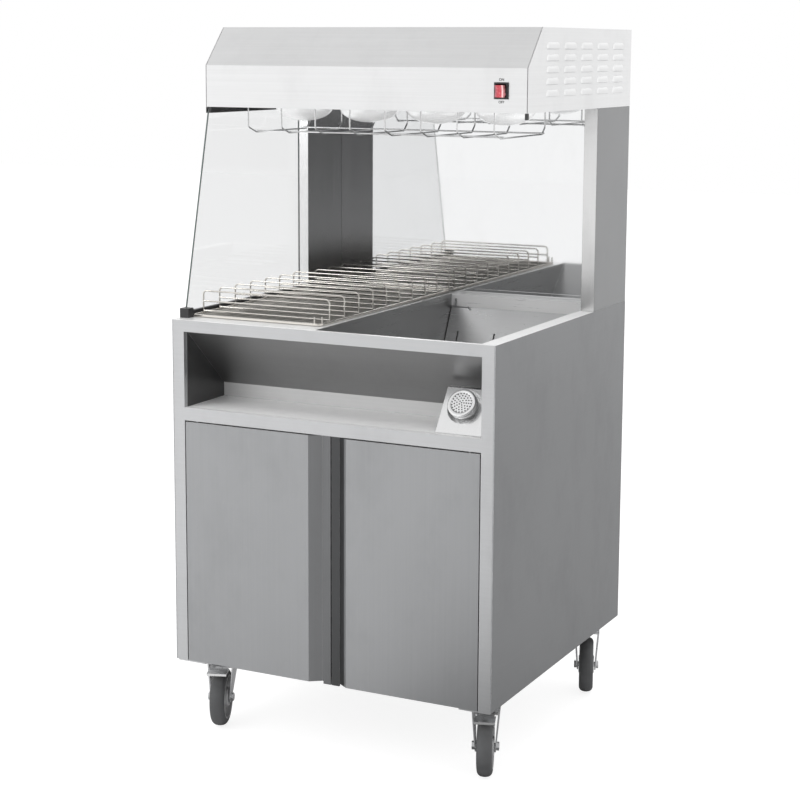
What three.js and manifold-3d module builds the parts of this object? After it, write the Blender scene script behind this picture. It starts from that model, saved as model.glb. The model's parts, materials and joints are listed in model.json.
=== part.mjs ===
import * as THREE from 'three';
import { mergeVertices } from 'three/addons/utils/BufferGeometryUtils.js';
import Module from 'manifold-3d';

const wasm = await Module();
wasm.setup();

// Overall sizes in millimetres, counted from the left side, the front and the floor
const width = 742;
const depth = 730;
const cabinetBottom = 160;
const deckTop = 900;
const servingHeight = 440;
const canopyHeight = 168;
const canopyBottom = deckTop + servingHeight;
const canopyTop = canopyBottom + canopyHeight;

// Sheet, clearances and the overrun that serves every cut
const sheet = 1.5;
const fit = 0.3;
const overrun = 5;
const innerLeft = sheet + fit;
const innerRight = width - sheet - fit;
const innerBack = depth - sheet - fit;

// Front frame
const frameDepth = 11;
const stileWidth = 28.5;
const topRailHeight = 24.3;
const nicheOpening = 161.2;
const midRailHeight = 28;
const topRailLow = deckTop - topRailHeight;
const midRailTop = topRailLow - nicheOpening;
const midRailLow = midRailTop - midRailHeight;
const behindFrame = frameDepth + fit;

// Cabinet bottom and panel flanges
const panFront = 40;
const panUpturn = 20;
const sideFlangeWidth = 34;
const deckFlangeWidth = 20;

// Doors and their pivots
const doorGap = 2;
const doorTopGap = 3;
const doorThickness = 22;
const doorFlatEnd = 44;
const doorBevelEnd = 20;
const doorRecess = 17;
const meetingGap = 1;
const stripDrop = 6;
const stripSide = 1.5;
const pivotInset = 25;
const pivotSetback = 8;
const pivotRadius = 3;
const pivotLength = 11;
const pivotPlay = 0.4;
const footThickness = 3;
const footLeft = 4;
const footRight = 72;
const footFront = 2;
const footBack = 52;

// Niche behind the front opening
const nicheFloorDrop = 0.5;
const nicheFloor = midRailTop - nicheFloorDrop;
const nicheBack = 157;
const nicheUpstandHeight = 30;

// Deck on the left with its shallow recess
const deckRight = 337.7;
const recessLeft = 66;
const recessRightMargin = 15.7;
const recessFront = 58;
const recessRearMargin = 54;
const recessDeep = 25;
const deckDownturn = 20;

// Dump basin on the right
const basinRight = width - sideFlangeWidth - fit;
const basinDepth = 135;
const basinFloor = deckTop - basinDepth;
const basinFrontLow = 162.5;
const ledgeDepth = 70;
const basinRear = depth - ledgeDepth;

// Slotted drain plate
const plateTopDrop = 29;
const plateTop = deckTop - plateTopDrop;
const plateRun = 49.8;
const plateBend = basinRear - plateRun;
const plateRaise = 7;
const plateFront = 166;
const plateSideGap = 1.5;
const slotLeftMargin = 31.3;
const slotRightMargin = 61.8;
const slotColumns = 4;
const slotWidth = 3.5;
const slotFromTop = 60;
const slotInclineLength = 44;
const slotFloorRows = 3;
const slotFloorGap = 20;
const slotRearMargin = 18.2;
const slotFrontMargin = 50;
const handleRadius = 2.2;
const handleRise = 19;
const handleStart = 2.5;
const handleUpright = 11;
const handleEnd = 49;
const handleCurl = 5;

// Pillars, mirror and glass
const pillarWidth = 30;
const pillarDepth = 199.2;
const pillarFront = innerBack - pillarDepth;
const mirrorSetback = 38;
const mirrorFace = depth - mirrorSetback;
const mirrorFoot = 1.7;
const mirrorFootHeight = 10;
const glassLeft = 2;
const glassThickness = 4;
const glassLowFront = 44;
const glassHighFront = 144;
const glassGap = 0.3;
const channelWidth = 10;
const channelHeight = 12;
const channelFront = 30;
const channelSole = 3;
const topChannelWidth = 12;
const topChannelHeight = 13;
const topChannelLow = canopyBottom - topChannelHeight;
const topChannelRoof = 3.7;
const clampWidth = 21;
const clampLength = 20;
const clampHeight = 20;
const stopWidth = 6;
const stopLength = 7;

// Wire rack and dividers
const rackLeft = 12;
const rackRightMargin = 9.7;
const rackRight = deckRight - rackRightMargin;
const rackFront = 52;
const rackRearMargin = 42.5;
const rackBack = depth - rackRearMargin;
const rackRod = 3;
const rackCorner = 12;
const notchAhead = 13;
const notchY = pillarFront - notchAhead;
const notchBeside = 6;
const notchX = pillarWidth + notchBeside;
const notchCorner = 9;
const crossRadius = 1.75;
const crossDrop = 1;
const dividerFirst = 97;
const dividerRearMargin = 7.9;
const dividerCount = 10;
const wiresPerDivider = 4;
const wiresAhead = 2;
const crossCount = wiresAhead + (dividerCount - 1) * wiresPerDivider + 1;
const dividerInset = 2;
const dividerMidHeight = 29;
const dividerTopHeight = 51;
const dividerCorner = 9;
const pegRise = 16;
const pegAcross = 13;
const pegAlong = 9;

// Canopy and its louvres
const canopyFront = 141;
const canopyFaceHeight = 87.7;
const canopyBevelLow = canopyBottom + canopyFaceHeight;
const canopyBevelBack = 213;
const canopyReturn = 12;
const louvreRows = 5;
const louvreColumns = 5;
const louvreFirstY = 240;
const louvreRearMargin = 32.8;
const louvreSpacing = 16.8;
const louvreFirstRise = 32.5;
const louvreTopMargin = 33.9;
const louvreHeight = 11;
const louvreOut = 3;
const louvreSkin = 1;

// Lamps, their plate, rail and sockets
const lampCount = 4;
const lampEndShort = 29;
const lampPitch = (width + 2 * lampEndShort) / (lampCount + 1);
const lampY = 335;
const lampRadius = 62.5;
const lampDrop = 33;
const lampLow = canopyBottom - lampDrop;
const lampHoleGap = 3.5;
const capGap = 0.5;
const socketWall = 8;
const socketRoof = 6;
const neckGap = 1.3;
const lampSeat = 2.5;
const railDepth = 11;
const railHalf = 30;
const railLow = canopyTop - railDepth;
const socketTop = railLow + fit;
const lampTop = socketTop - socketRoof - lampSeat;
const railEndMargin = 60;

// Lamp guard
const guardRadius = 2;
const guardDrop = 55;
const guardLow = canopyBottom - guardDrop;
const guardUpright = 207;
const guardFront = 240;
const guardBack = 460;
const guardFrontRise = 12;
const guardBackStep = 16;
const guardBackRise = 15;
const guardLeftMargin = 65;
const guardRightMargin = 100;
const guardCount = 8;
const guardRodOver = 6;
const guardRodShift = 2.5;

// Switch
const switchRightMargin = 42;
const switchWidth = 29;
const switchHeight = 33;
const switchRise = 27;
const switchRight = width - switchRightMargin;
const switchLeft = switchRight - switchWidth;
const switchLow = canopyBottom + switchRise;
const switchHigh = switchLow + switchHeight;
const switchProud = 4;
const switchRim = 3;
const switchWall = 1.6;
const switchBehind = 24;
const rockerDepth = 9;
const rockerDip = 2;
const rockerBack = 3;
const rockerTiltAngle = 6;
const rockerNarrow = 4;

// Shaker and its holder
const holderRightMargin = 36;
const holderWidth = 99;
const holderRight = width - holderRightMargin;
const holderLeft = holderRight - holderWidth;
const holderFront = 15;
const holderSeat = 1.3;
const holderLow = nicheFloor + holderSeat;
const holderSlopeAngle = 54.5;
const holderLength = 100;
const holderFold = 15;
const shakerFromRight = 51;
const shakerX = holderRight - shakerFromRight;
const shakerUp = 60;
const cupRadius = 37;
const cupWall = 1.2;
const cupDepth = 31;
const shakerRadius = 28.2;
const shakerWall = 1.4;
const shakerFloorGap = 0.4;
const shakerLow = cupWall + shakerFloorGap - cupDepth;
const shakerHigh = 16.2;
const lidWall = 1.7;
const lidRadius = shakerRadius + fit + lidWall;
const lidLow = 5;
const lidThickness = 3.5;
const lidRim = 7.5;
const lidRecess = 1.2;
const lidEdge = 3;
const lidHole = 0.9;
const lidRingPitch = 5.1;
const lidRings = 4;
const lidPerRing = 5;

// Castors
const castorLeft = 55;
const castorFront = 105;
const castorRearInset = 55;
const castorBack = depth - castorRearInset;
const castorTurnAngle = 20.5;
const castorTrail = 37;
const castorPlateLength = 100;
const castorPlateWidth = 85;
const castorPlateThickness = 4;
const castorHead = 35;
const wheelRadius = (cabinetBottom - castorHead) / 2;
const wheelWidth = 31;
const tyreDepth = 15;
const tyreShoulder = 8;
const hubRadius = 20;
const hubHalf = 18;
const webHalf = 5;
const axleRadius = 6;
const axlePlay = 0.4;
const axleHalf = 25;
const nutRadius = 9;
const nutHalf = 28;
const legInner = 19.3;
const legThickness = 3;
const legSplay = 6.5;
const legTip = 13;
const legTipDropShare = 0.87;
const legTopFront = -46;
const legTopBack = 24;
const crownDrop = 23;
const crownLow = cabinetBottom - crownDrop;
const crownThickness = 4;
const raceRadius = 28;
const raceBore = 9;
const raceHeight = 6;
const bossLow = crownLow + crownThickness + raceHeight;
const bossRadius = 25;
const kingpinRadius = 6;
const kingpinHead = 9;
const kingpinHeadHeight = 5.6;
const kingpinPlay = 0.4;
const kingpinLow = crownLow - kingpinPlay - kingpinHeadHeight;

// Brake pedals of the front castors
const pedalPinRadius = 3;
const pedalPinY = -36;
const pedalPinDrop = 29.5;
const pedalPinZ = cabinetBottom - pedalPinDrop;
const pedalPinHalf = 27.4;
const pedalTongueHalf = 18;
const pedalPaddleHalf = 21.5;
const pedalTongueBack = -31;
const pedalKnee = -58;
const pedalTip = -88;
const pedalTipDrop = 1;
const pedalLip = 4;
const pedalThickness = 2.5;
const pedalPaddleStart = -54;

// Shared helper values
const quarter = Math.PI / 2;
const toRadians = Math.PI / 180;
const wireSides = 6;
const thinSides = 5;
const pinSides = 10;
const bossSides = 12;
const cornerSteps = 2;
const roundSides = 20;
const lampSides = 16;
const holeSides = 4;

function solid(geometry) {
  const bare = geometry.clone();
  bare.deleteAttribute('normal');
  bare.deleteAttribute('uv');
  const merged = mergeVertices(bare);
  return new wasm.Manifold(new wasm.Mesh({
    numProp: 3,
    vertProperties: new Float32Array(merged.attributes.position.array),
    triVerts: new Uint32Array(merged.index.array),
  }));
}

function joined(solids) {
  let whole = solids[0];
  for (const next of solids.slice(1)) {
    whole = whole.add(next);
  }
  return whole;
}

function box(x0, x1, y0, y1, z0, z1) {
  const block = new THREE.BoxGeometry(x1 - x0, y1 - y0, z1 - z0);
  block.translate((x0 + x1) / 2, (y0 + y1) / 2, (z0 + z1) / 2);
  return solid(block);
}

function prism(points, length) {
  const outline = new THREE.Shape(points.map(([u, v]) => new THREE.Vector2(u, v)));
  return new THREE.ExtrudeGeometry(outline, { depth: length, bevelEnabled: false });
}

// Outline points are y and z, the prism runs along x
function alongX(points, x0, x1) {
  const shape = prism(points, x1 - x0);
  shape.applyMatrix4(new THREE.Matrix4().set(0, 0, 1, x0, 1, 0, 0, 0, 0, 1, 0, 0, 0, 0, 0, 1));
  return solid(shape);
}

// Outline points are x and z, the prism runs along y
function alongY(points, y0, y1) {
  const shape = prism(points, y1 - y0);
  shape.applyMatrix4(new THREE.Matrix4().set(1, 0, 0, 0, 0, 0, -1, y1, 0, 1, 0, 0, 0, 0, 0, 1));
  return solid(shape);
}

// Outline points are x and y, the prism runs along z
function alongZ(points, z0, z1) {
  const shape = prism(points, z1 - z0);
  shape.translate(0, 0, z0);
  return solid(shape);
}

// Bent sheet: an open path thickened to its right hand side
function bentSheet(path, thickness) {
  const points = path.map(([u, v]) => new THREE.Vector2(u, v));
  const normals = [];
  for (let i = 1; i < points.length; i++) {
    const along = points[i].clone().sub(points[i - 1]).normalize();
    normals.push(new THREE.Vector2(along.y, -along.x));
  }
  const far = points.map((point, i) => {
    const before = normals[Math.max(i - 1, 0)];
    const after = normals[Math.min(i, normals.length - 1)];
    const middle = before.clone().add(after);
    return point.clone().add(middle.multiplyScalar(thickness / (1 + before.dot(after))));
  });
  return [...points, ...far.reverse()].map((point) => [point.x, point.y]);
}

// Path of straight runs with rounded corners, sampled only at its own points
class WirePath extends THREE.Curve {
  constructor(corners, cornerRadius) {
    super();
    this.points = [corners[0]];
    for (let i = 1; i < corners.length - 1; i++) {
      if (cornerRadius === 0) {
        this.points.push(corners[i]);
        continue;
      }
      const before = corners[i - 1].clone().sub(corners[i]).normalize().multiplyScalar(cornerRadius);
      const after = corners[i + 1].clone().sub(corners[i]).normalize().multiplyScalar(cornerRadius);
      const bend = new THREE.QuadraticBezierCurve3(
        corners[i].clone().add(before),
        corners[i],
        corners[i].clone().add(after),
      );
      this.points.push(...bend.getPoints(cornerSteps));
    }
    this.points.push(corners[corners.length - 1]);
  }

  getPoint(share) {
    return this.points[Math.round(share * (this.points.length - 1))].clone();
  }

  getPointAt(share) {
    return this.getPoint(share);
  }

  getTangentAt(share) {
    const index = Math.round(share * (this.points.length - 1));
    const here = this.points[index];
    const before = this.points[Math.max(index - 1, 0)];
    const after = this.points[Math.min(index + 1, this.points.length - 1)];
    const arriving = here.clone().sub(before).normalize();
    const leaving = after.clone().sub(here).normalize();
    return arriving.add(leaving).normalize();
  }
}

function wire(corners, radius, cornerRadius = 0, sides = thinSides) {
  const path = new WirePath(corners.map(([x, y, z]) => new THREE.Vector3(x, y, z)), cornerRadius);
  const section = [];
  for (let i = 0; i < sides; i++) {
    const angle = (2 * Math.PI * i) / sides;
    section.push(new THREE.Vector2(radius * Math.cos(angle), radius * Math.sin(angle)));
  }
  return solid(new THREE.ExtrudeGeometry(new THREE.Shape(section), {
    steps: path.points.length - 1,
    extrudePath: path,
    bevelEnabled: false,
  }));
}

// Revolved body: profile points are radius and height, the axis is z
function turned(profile, sides = roundSides) {
  const points = profile.map(([radius, height]) => new THREE.Vector2(radius, height));
  const shape = new THREE.LatheGeometry(points, sides);
  shape.rotateX(quarter);
  return shape;
}

function rod(radius, low, high, sides = roundSides) {
  return turned([[0, low], [radius, low], [radius, high], [0, high]], sides);
}

function upright(x, y, radius, low, high, sides = pinSides) {
  return solid(rod(radius, low, high, sides).translate(x, y, 0));
}

function crosswise(y, z, radius, x0, x1, sides = roundSides) {
  return solid(rod(radius, x0, x1, sides).rotateY(quarter).translate(0, y, z));
}

const group = new THREE.Group();
group.name = 'french_fry_dump_station';

function look(color, roughness, metalness) {
  return () => new THREE.MeshStandardMaterial({ color, roughness, metalness });
}

const brushed = look('#bfc1c3', 0.38, 0.9);
const darkBrushed = look('#9b9da0', 0.4, 0.9);
const bright = look('#d6d8d9', 0.25, 0.95);
const polished = look('#e3e5e6', 0.06, 1);
const zinc = look('#a8aaac', 0.35, 0.85);
const rubber = look('#4b4c4e', 0.75, 0);
const blackPlastic = look('#1b1b1c', 0.5, 0);
const redLens = look('#b3161a', 0.25, 0);
const lampGlass = look('#eceef0', 0.2, 0.1);
const ceramic = look('#e8e6e0', 0.5, 0);

function piece(name, body, material, placing = new THREE.Matrix4()) {
  const mesh = body.getMesh();
  const geometry = new THREE.BufferGeometry();
  geometry.setAttribute('position', new THREE.BufferAttribute(new Float32Array(mesh.vertProperties), 3));
  geometry.setIndex(new THREE.BufferAttribute(new Uint32Array(mesh.triVerts), 1));
  geometry.applyMatrix4(placing);
  geometry.translate(-width / 2, -depth / 2, 0);
  geometry.computeVertexNormals();
  const part = new THREE.Mesh(geometry, material());
  part.name = name;
  group.add(part);
}

// Side panels
piece('side_panel_left', joined([
  box(0, sheet, 0, depth, cabinetBottom, deckTop),
  box(0, deckFlangeWidth, behindFrame, innerBack, deckTop - 2 * sheet - fit, deckTop - sheet - fit),
]), brushed);
piece('side_panel_right', joined([
  box(width - sheet, width, 0, depth, cabinetBottom, deckTop),
  box(width - sideFlangeWidth, width, behindFrame, innerBack, deckTop - sheet, deckTop),
]), brushed);

// Front frame of open channels, with the studs that the doors turn on
const doorTop = midRailLow - doorTopGap;
const doorLeftEdge = stileWidth + doorGap;
const pivotLeft = doorLeftEdge + pivotInset;
const pivotRight = width - pivotLeft;
const frameOutline = box(innerLeft, innerRight, 0, frameDepth, cabinetBottom, deckTop);
const doorwayCut = box(stileWidth, width - stileWidth, -overrun, frameDepth + overrun,
  cabinetBottom - overrun, midRailLow);
const nicheCut = box(stileWidth, width - stileWidth, -overrun, frameDepth + overrun, midRailTop, topRailLow);
const hollowBack = frameDepth + overrun;
const stileHollowLeft = box(innerLeft + sheet, stileWidth - sheet, sheet, hollowBack,
  cabinetBottom - overrun, deckTop - sheet);
const stileHollowRight = box(width - stileWidth + sheet, innerRight - sheet, sheet, hollowBack,
  cabinetBottom - overrun, deckTop - sheet);
const topHollow = box(innerLeft + sheet, innerRight - sheet, sheet, hollowBack,
  topRailLow + sheet, deckTop - sheet);
const midHollow = box(innerLeft + sheet, innerRight - sheet, sheet, hollowBack,
  midRailLow + sheet, midRailTop - sheet);
const frameShell = frameOutline
  .subtract(doorwayCut)
  .subtract(nicheCut)
  .subtract(joined([stileHollowLeft, stileHollowRight, topHollow, midHollow]));
piece('front_frame', joined([
  frameShell,
  upright(pivotLeft, pivotSetback, pivotRadius, doorTop - pivotLength, midRailLow + sheet),
  upright(pivotRight, pivotSetback, pivotRadius, doorTop - pivotLength, midRailLow + sheet),
]), brushed);

piece('back_panel', box(innerLeft, innerRight, depth - sheet, depth, cabinetBottom, canopyBottom), brushed);

const panPath = [
  [innerLeft, cabinetBottom + panUpturn],
  [innerLeft, cabinetBottom],
  [innerRight, cabinetBottom],
  [innerRight, cabinetBottom + panUpturn],
];
piece('base_pan', alongY(bentSheet(panPath, -sheet), panFront, innerBack), darkBrushed);

// Doors: flat front, bevel and recessed meeting edge, with pivot holes above and below
function doorBody() {
  const centre = width / 2;
  const plan = [
    [doorLeftEdge, 0],
    [centre - doorFlatEnd, 0],
    [centre - doorBevelEnd, doorRecess],
    [centre - meetingGap, doorRecess],
    [centre - meetingGap, doorThickness],
    [doorLeftEdge, doorThickness],
  ];
  const hole = pivotRadius + pivotPlay;
  const reach = pivotLength + sheet;
  return joined([
    alongZ(plan, cabinetBottom, doorTop),
    box(centre - doorBevelEnd + stripSide, centre - meetingGap, doorRecess, doorThickness,
      cabinetBottom - stripDrop, cabinetBottom + overrun),
  ])
    .subtract(upright(pivotLeft, pivotSetback, hole, doorTop - reach, doorTop + overrun))
    .subtract(upright(pivotLeft, pivotSetback, hole, cabinetBottom - overrun, cabinetBottom + reach));
}

function mirroredX(body) {
  const mesh = body.getMesh();
  const positions = new Float32Array(mesh.vertProperties);
  const corners = new Uint32Array(mesh.triVerts);
  for (let i = 0; i < positions.length; i += 3) {
    positions[i] = width - positions[i];
  }
  for (let i = 0; i < corners.length; i += 3) {
    [corners[i], corners[i + 1]] = [corners[i + 1], corners[i]];
  }
  return new wasm.Manifold(new wasm.Mesh({ numProp: 3, vertProperties: positions, triVerts: corners }));
}

piece('door_left', doorBody(), darkBrushed);
piece('door_right', mirroredX(doorBody()), darkBrushed);

// Bottom pivot feet
function footBody() {
  const top = cabinetBottom - fit;
  return joined([
    box(footLeft, footRight, footFront, footBack, top - footThickness, top),
    upright(pivotLeft, pivotSetback, pivotRadius, top - footThickness, top + pivotLength),
  ]);
}
piece('hinge_left', footBody(), zinc);
piece('hinge_right', mirroredX(footBody()), zinc);

// Niche liner: floor, upstand, inclined ceiling and end walls
const nicheOpenPath = [
  [behindFrame, nicheFloor],
  [nicheBack, nicheFloor],
  [nicheBack, nicheFloor + nicheUpstandHeight],
  [behindFrame, topRailLow],
];
const nicheSkin = bentSheet(nicheOpenPath, sheet);
const nicheOuter = nicheSkin.slice(nicheOpenPath.length);
piece('niche_liner', joined([
  alongX(nicheSkin, stileWidth - sheet, width - stileWidth + sheet),
  alongX(nicheOuter, stileWidth - sheet, stileWidth),
  alongX(nicheOuter, width - stileWidth, width - stileWidth + sheet),
]), darkBrushed);

// Deck plate with recess
const recessRight = deckRight - recessRightMargin;
const recessBack = depth - recessRearMargin;
piece('deck_plate', joined([
  box(innerLeft, deckRight, behindFrame, innerBack, deckTop - sheet, deckTop),
  box(deckRight - sheet, deckRight, behindFrame, innerBack, deckTop - deckDownturn, deckTop),
  box(recessLeft - sheet, recessRight + sheet, recessFront - sheet, recessBack + sheet,
    deckTop - recessDeep - sheet, deckTop),
]).subtract(
  box(recessLeft, recessRight, recessFront, recessBack, deckTop - recessDeep, deckTop + overrun),
), brushed);

// Dump basin with rear ledge
const basinLeft = deckRight + fit;
const basinPath = [
  [behindFrame + sheet, deckTop],
  [basinFrontLow, basinFloor],
  [basinRear, basinFloor],
  [basinRear, deckTop],
  [innerBack, deckTop],
];
const basinTroughPath = basinPath.slice(0, -1);
const basinWall = [
  basinTroughPath[0],
  ...bentSheet(basinTroughPath, sheet).slice(basinTroughPath.length).reverse(),
];
piece('dump_basin', joined([
  alongX(bentSheet(basinPath, sheet), basinLeft, basinRight),
  alongX(basinWall, basinLeft, basinLeft + sheet),
  alongX(basinWall, basinRight - sheet, basinRight),
]), brushed);

// Drain plate with narrow slots and a wire handle along its top edge
const drainLeft = basinLeft + sheet + plateSideGap;
const drainRight = basinRight - sheet - plateSideGap;
const drainTopY = basinRear - plateSideGap;
const drainFloor = basinFloor + plateRaise;
const drainPath = [
  [plateFront, basinFloor + fit],
  [plateFront, drainFloor],
  [plateBend, drainFloor],
  [drainTopY, plateTop],
];
const inclineAngle = Math.atan2(plateTop - drainFloor, drainTopY - plateBend);
function slotCutter(x, distance) {
  const cutter = new THREE.BoxGeometry(slotWidth, slotInclineLength, 2 * overrun);
  cutter.translate(0, -distance - slotInclineLength / 2, 0);
  cutter.rotateX(inclineAngle);
  cutter.translate(x, drainTopY, plateTop);
  return solid(cutter);
}
const slotFirst = basinLeft + slotLeftMargin;
const slotPitch = (basinRight - slotRightMargin - slotFirst) / (slotColumns - 1);
const slotFloorStart = plateBend - slotRearMargin;
const slotFloorPitch = (slotFloorStart - plateFront - slotFrontMargin + slotFloorGap) / slotFloorRows;
const slotFloorLength = slotFloorPitch - slotFloorGap;
let drainBody = alongX(bentSheet(drainPath, sheet), drainLeft, drainRight);
for (let column = 0; column < slotColumns; column++) {
  const x = slotFirst + column * slotPitch;
  drainBody = drainBody.subtract(slotCutter(x, slotFromTop));
  for (let row = 0; row < slotFloorRows; row++) {
    const back = slotFloorStart - row * slotFloorPitch;
    drainBody = drainBody.subtract(box(x - slotWidth / 2, x + slotWidth / 2, back - slotFloorLength, back,
      drainFloor - overrun, drainFloor + overrun));
  }
}
const handleY = drainTopY - handleRadius / 2;
const handleZ = plateTop;
drainBody = joined([
  drainBody,
  wire([
    [drainLeft, handleY, handleZ],
    [drainLeft + handleEnd - handleCurl, handleY, handleZ],
    [drainLeft + handleEnd, handleY - handleCurl, handleZ - handleCurl],
  ], handleRadius),
  wire([
    [drainLeft + handleUpright, handleY, handleZ],
    [drainLeft + handleUpright, handleY, handleZ + handleRise],
  ], handleRadius),
  upright(drainLeft + handleStart, handleY, handleRadius, handleZ - handleCurl, handleZ + handleRadius,
    thinSides),
]);
piece('drain_plate', drainBody, bright);

// Mirror panel: a face with a thick foot and a top flange to the back panel
const aboveDeck = deckTop + fit;
const belowCanopy = canopyBottom - fit;
const mirrorOutline = [
  [mirrorFace - mirrorFoot, aboveDeck],
  [mirrorFace + sheet, aboveDeck],
  [mirrorFace + sheet, belowCanopy - sheet],
  [innerBack, belowCanopy - sheet],
  [innerBack, belowCanopy],
  [mirrorFace, belowCanopy],
  [mirrorFace, aboveDeck + mirrorFootHeight],
  [mirrorFace - mirrorFoot, aboveDeck + mirrorFootHeight],
];
piece('mirror_panel', alongX(mirrorOutline, pillarWidth + fit, width - pillarWidth - fit), polished);

function pillarBody() {
  return box(0, pillarWidth, pillarFront, innerBack, aboveDeck, belowCanopy).subtract(
    box(sheet, pillarWidth - sheet, pillarFront + sheet, innerBack - sheet,
      aboveDeck - overrun, belowCanopy + overrun),
  );
}
piece('pillar_left', pillarBody(), brushed);
piece('pillar_right', mirroredX(pillarBody()), brushed);

// Side glass in its channels
const glassLow = aboveDeck + channelSole + glassGap;
const glassHigh = belowCanopy - topChannelRoof - glassGap;
const glassBack = pillarFront - fit;
const glassOutline = [
  [glassLowFront, glassLow],
  [glassBack, glassLow],
  [glassBack, glassHigh],
  [glassHighFront, glassHigh],
];
const paneLeft = glassLeft - glassGap;
const paneRight = glassLeft + glassThickness + glassGap;
piece('side_glass', alongX(glassOutline, glassLeft, glassLeft + glassThickness),
  () => new THREE.MeshStandardMaterial({
    color: '#e6eeec', roughness: 0.05, metalness: 0, transparent: true, opacity: 0.25,
  }));
piece('glass_base_channel', joined([
  box(0, channelWidth, channelFront, glassBack, aboveDeck, deckTop + channelHeight),
  box(0, clampWidth, channelFront, channelFront + clampLength, aboveDeck, deckTop + clampHeight),
]).subtract(
  box(paneLeft, paneRight, glassLowFront - glassGap, glassBack + overrun,
    aboveDeck + channelSole, deckTop + clampHeight + overrun),
), blackPlastic);
const topChannelOutside = box(0, topChannelWidth, canopyFront, glassBack, topChannelLow, belowCanopy);
piece('glass_top_channel', topChannelOutside.subtract(
  box(paneLeft, paneRight, canopyFront - overrun, glassBack + overrun,
    topChannelLow - overrun, belowCanopy - topChannelRoof),
), blackPlastic);
piece('glass_stop_right', box(width - stopWidth, width, canopyFront, canopyFront + stopLength,
  topChannelLow, belowCanopy), blackPlastic);

// Canopy shell, with the cut-out that the switch sits in
const canopyPath = [
  [canopyFront + canopyReturn, canopyBottom],
  [canopyFront, canopyBottom],
  [canopyFront, canopyBevelLow],
  [canopyBevelBack, canopyTop],
  [depth, canopyTop],
  [depth, canopyBottom + fit],
];
const housingLeft = switchLeft + switchWall;
const housingRight = switchRight - switchWall;
const housingLow = switchLow + switchWall;
const housingHigh = switchHigh - switchWall;
piece('canopy_shell', alongX(bentSheet(canopyPath, sheet), innerLeft, innerRight).subtract(
  box(housingLeft - fit, housingRight + fit, canopyFront - overrun, canopyFront + overrun,
    housingLow - fit, housingHigh + fit),
), bright);

// Canopy sides with pressed louvres, open at their lower edge
const louvreColumnPitch = (depth - louvreRearMargin - louvreFirstY + louvreSpacing) / louvreColumns;
const louvreLength = louvreColumnPitch - louvreSpacing;
const louvreRowPitch = (canopyHeight - louvreFirstRise - louvreTopMargin) / (louvreRows - 1);
function canopySide() {
  const outline = [
    [canopyFront, canopyBottom],
    [depth, canopyBottom],
    [depth, canopyTop],
    [canopyBevelBack, canopyTop],
    [canopyFront, canopyBevelLow],
  ];
  let side = alongX(outline, width - sheet, width);
  const hoods = [];
  const throats = [];
  for (let column = 0; column < louvreColumns; column++) {
    const y0 = louvreFirstY + column * louvreColumnPitch;
    const y1 = y0 + louvreLength;
    for (let row = 0; row < louvreRows; row++) {
      const z = canopyBottom + louvreFirstRise + row * louvreRowPitch;
      const low = z - louvreHeight / 2;
      const high = z + louvreHeight / 2;
      hoods.push(alongY([
        [width - sheet, low],
        [width + louvreOut, low],
        [width + louvreOut, low + louvreSkin],
        [width - sheet, high],
      ], y0, y1));
      throats.push(alongY([
        [width - sheet - overrun, low - louvreSkin],
        [width + louvreOut - louvreSkin, low - louvreSkin],
        [width + louvreOut - louvreSkin, low + louvreSkin / 2],
        [width - sheet - overrun, high - louvreSkin],
      ], y0 + louvreSkin, y1 - louvreSkin));
    }
  }
  side = joined([side, ...hoods]);
  for (const throat of throats) {
    side = side.subtract(throat);
  }
  return side;
}
const rightSide = canopySide();
piece('canopy_side_right', rightSide, brushed);
piece('canopy_side_left', mirroredX(rightSide), brushed);

// Lamp plate with four holes
const lampCentres = [];
for (let i = 0; i < lampCount; i++) {
  lampCentres.push(width / 2 + (i - (lampCount - 1) / 2) * lampPitch);
}
const returnBack = canopyFront + canopyReturn;
let lampPlate = box(innerLeft, innerRight, returnBack + fit, innerBack, canopyBottom, canopyBottom + sheet);
for (const x of lampCentres) {
  lampPlate = lampPlate.subtract(
    upright(x, lampY, lampRadius + lampHoleGap, canopyBottom - overrun, canopyBottom + overrun, roundSides),
  );
}
piece('lamp_plate', lampPlate, brushed);

// Reflector lamps: shares of the largest radius and of the length
const neckShare = 0.82;
const capStartShare = 0.85;
const capRadiusShare = 0.216;
const lampShares = [
  [0, 0],
  [0.4, 0.012],
  [0.76, 0.05],
  [0.94, 0.1],
  [1, 0.165],
  [0.96, 0.24],
  [0.8, 0.36],
  [0.52, 0.53],
  [0.34, 0.68],
  [0.26, neckShare],
  [capRadiusShare, capStartShare],
  [capRadiusShare, 0.985],
  [0, 1],
];
const lampLength = lampTop - lampLow;
lampCentres.forEach((x, i) => {
  const profile = lampShares.map(([r, h]) => [r * lampRadius, lampLow + h * lampLength]);
  piece(`heat_lamp_${i + 1}`, solid(turned(profile, lampSides).translate(x, lampY, 0)), lampGlass);
});

// Lamp rail with a socket round each lamp's cap
const railPath = [
  [lampY - railHalf, canopyTop - sheet - fit],
  [lampY - railHalf, railLow],
  [lampY + railHalf, railLow],
  [lampY + railHalf, canopyTop - sheet - fit],
];
const socketBore = lampRadius * capRadiusShare + capGap;
const socketRadius = socketBore + socketWall;
const socketLow = lampLow + lampLength * capStartShare + neckGap;
piece('lamp_rail', joined([
  alongX(bentSheet(railPath, -sheet), railEndMargin, width - railEndMargin),
  ...lampCentres.map((x) => solid(turned([
    [0, socketTop - socketRoof],
    [socketBore, socketTop - socketRoof],
    [socketBore, socketLow],
    [socketRadius, socketLow],
    [socketRadius, socketTop],
    [0, socketTop],
  ], lampSides).translate(x, lampY, 0))),
]), ceramic);

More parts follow.
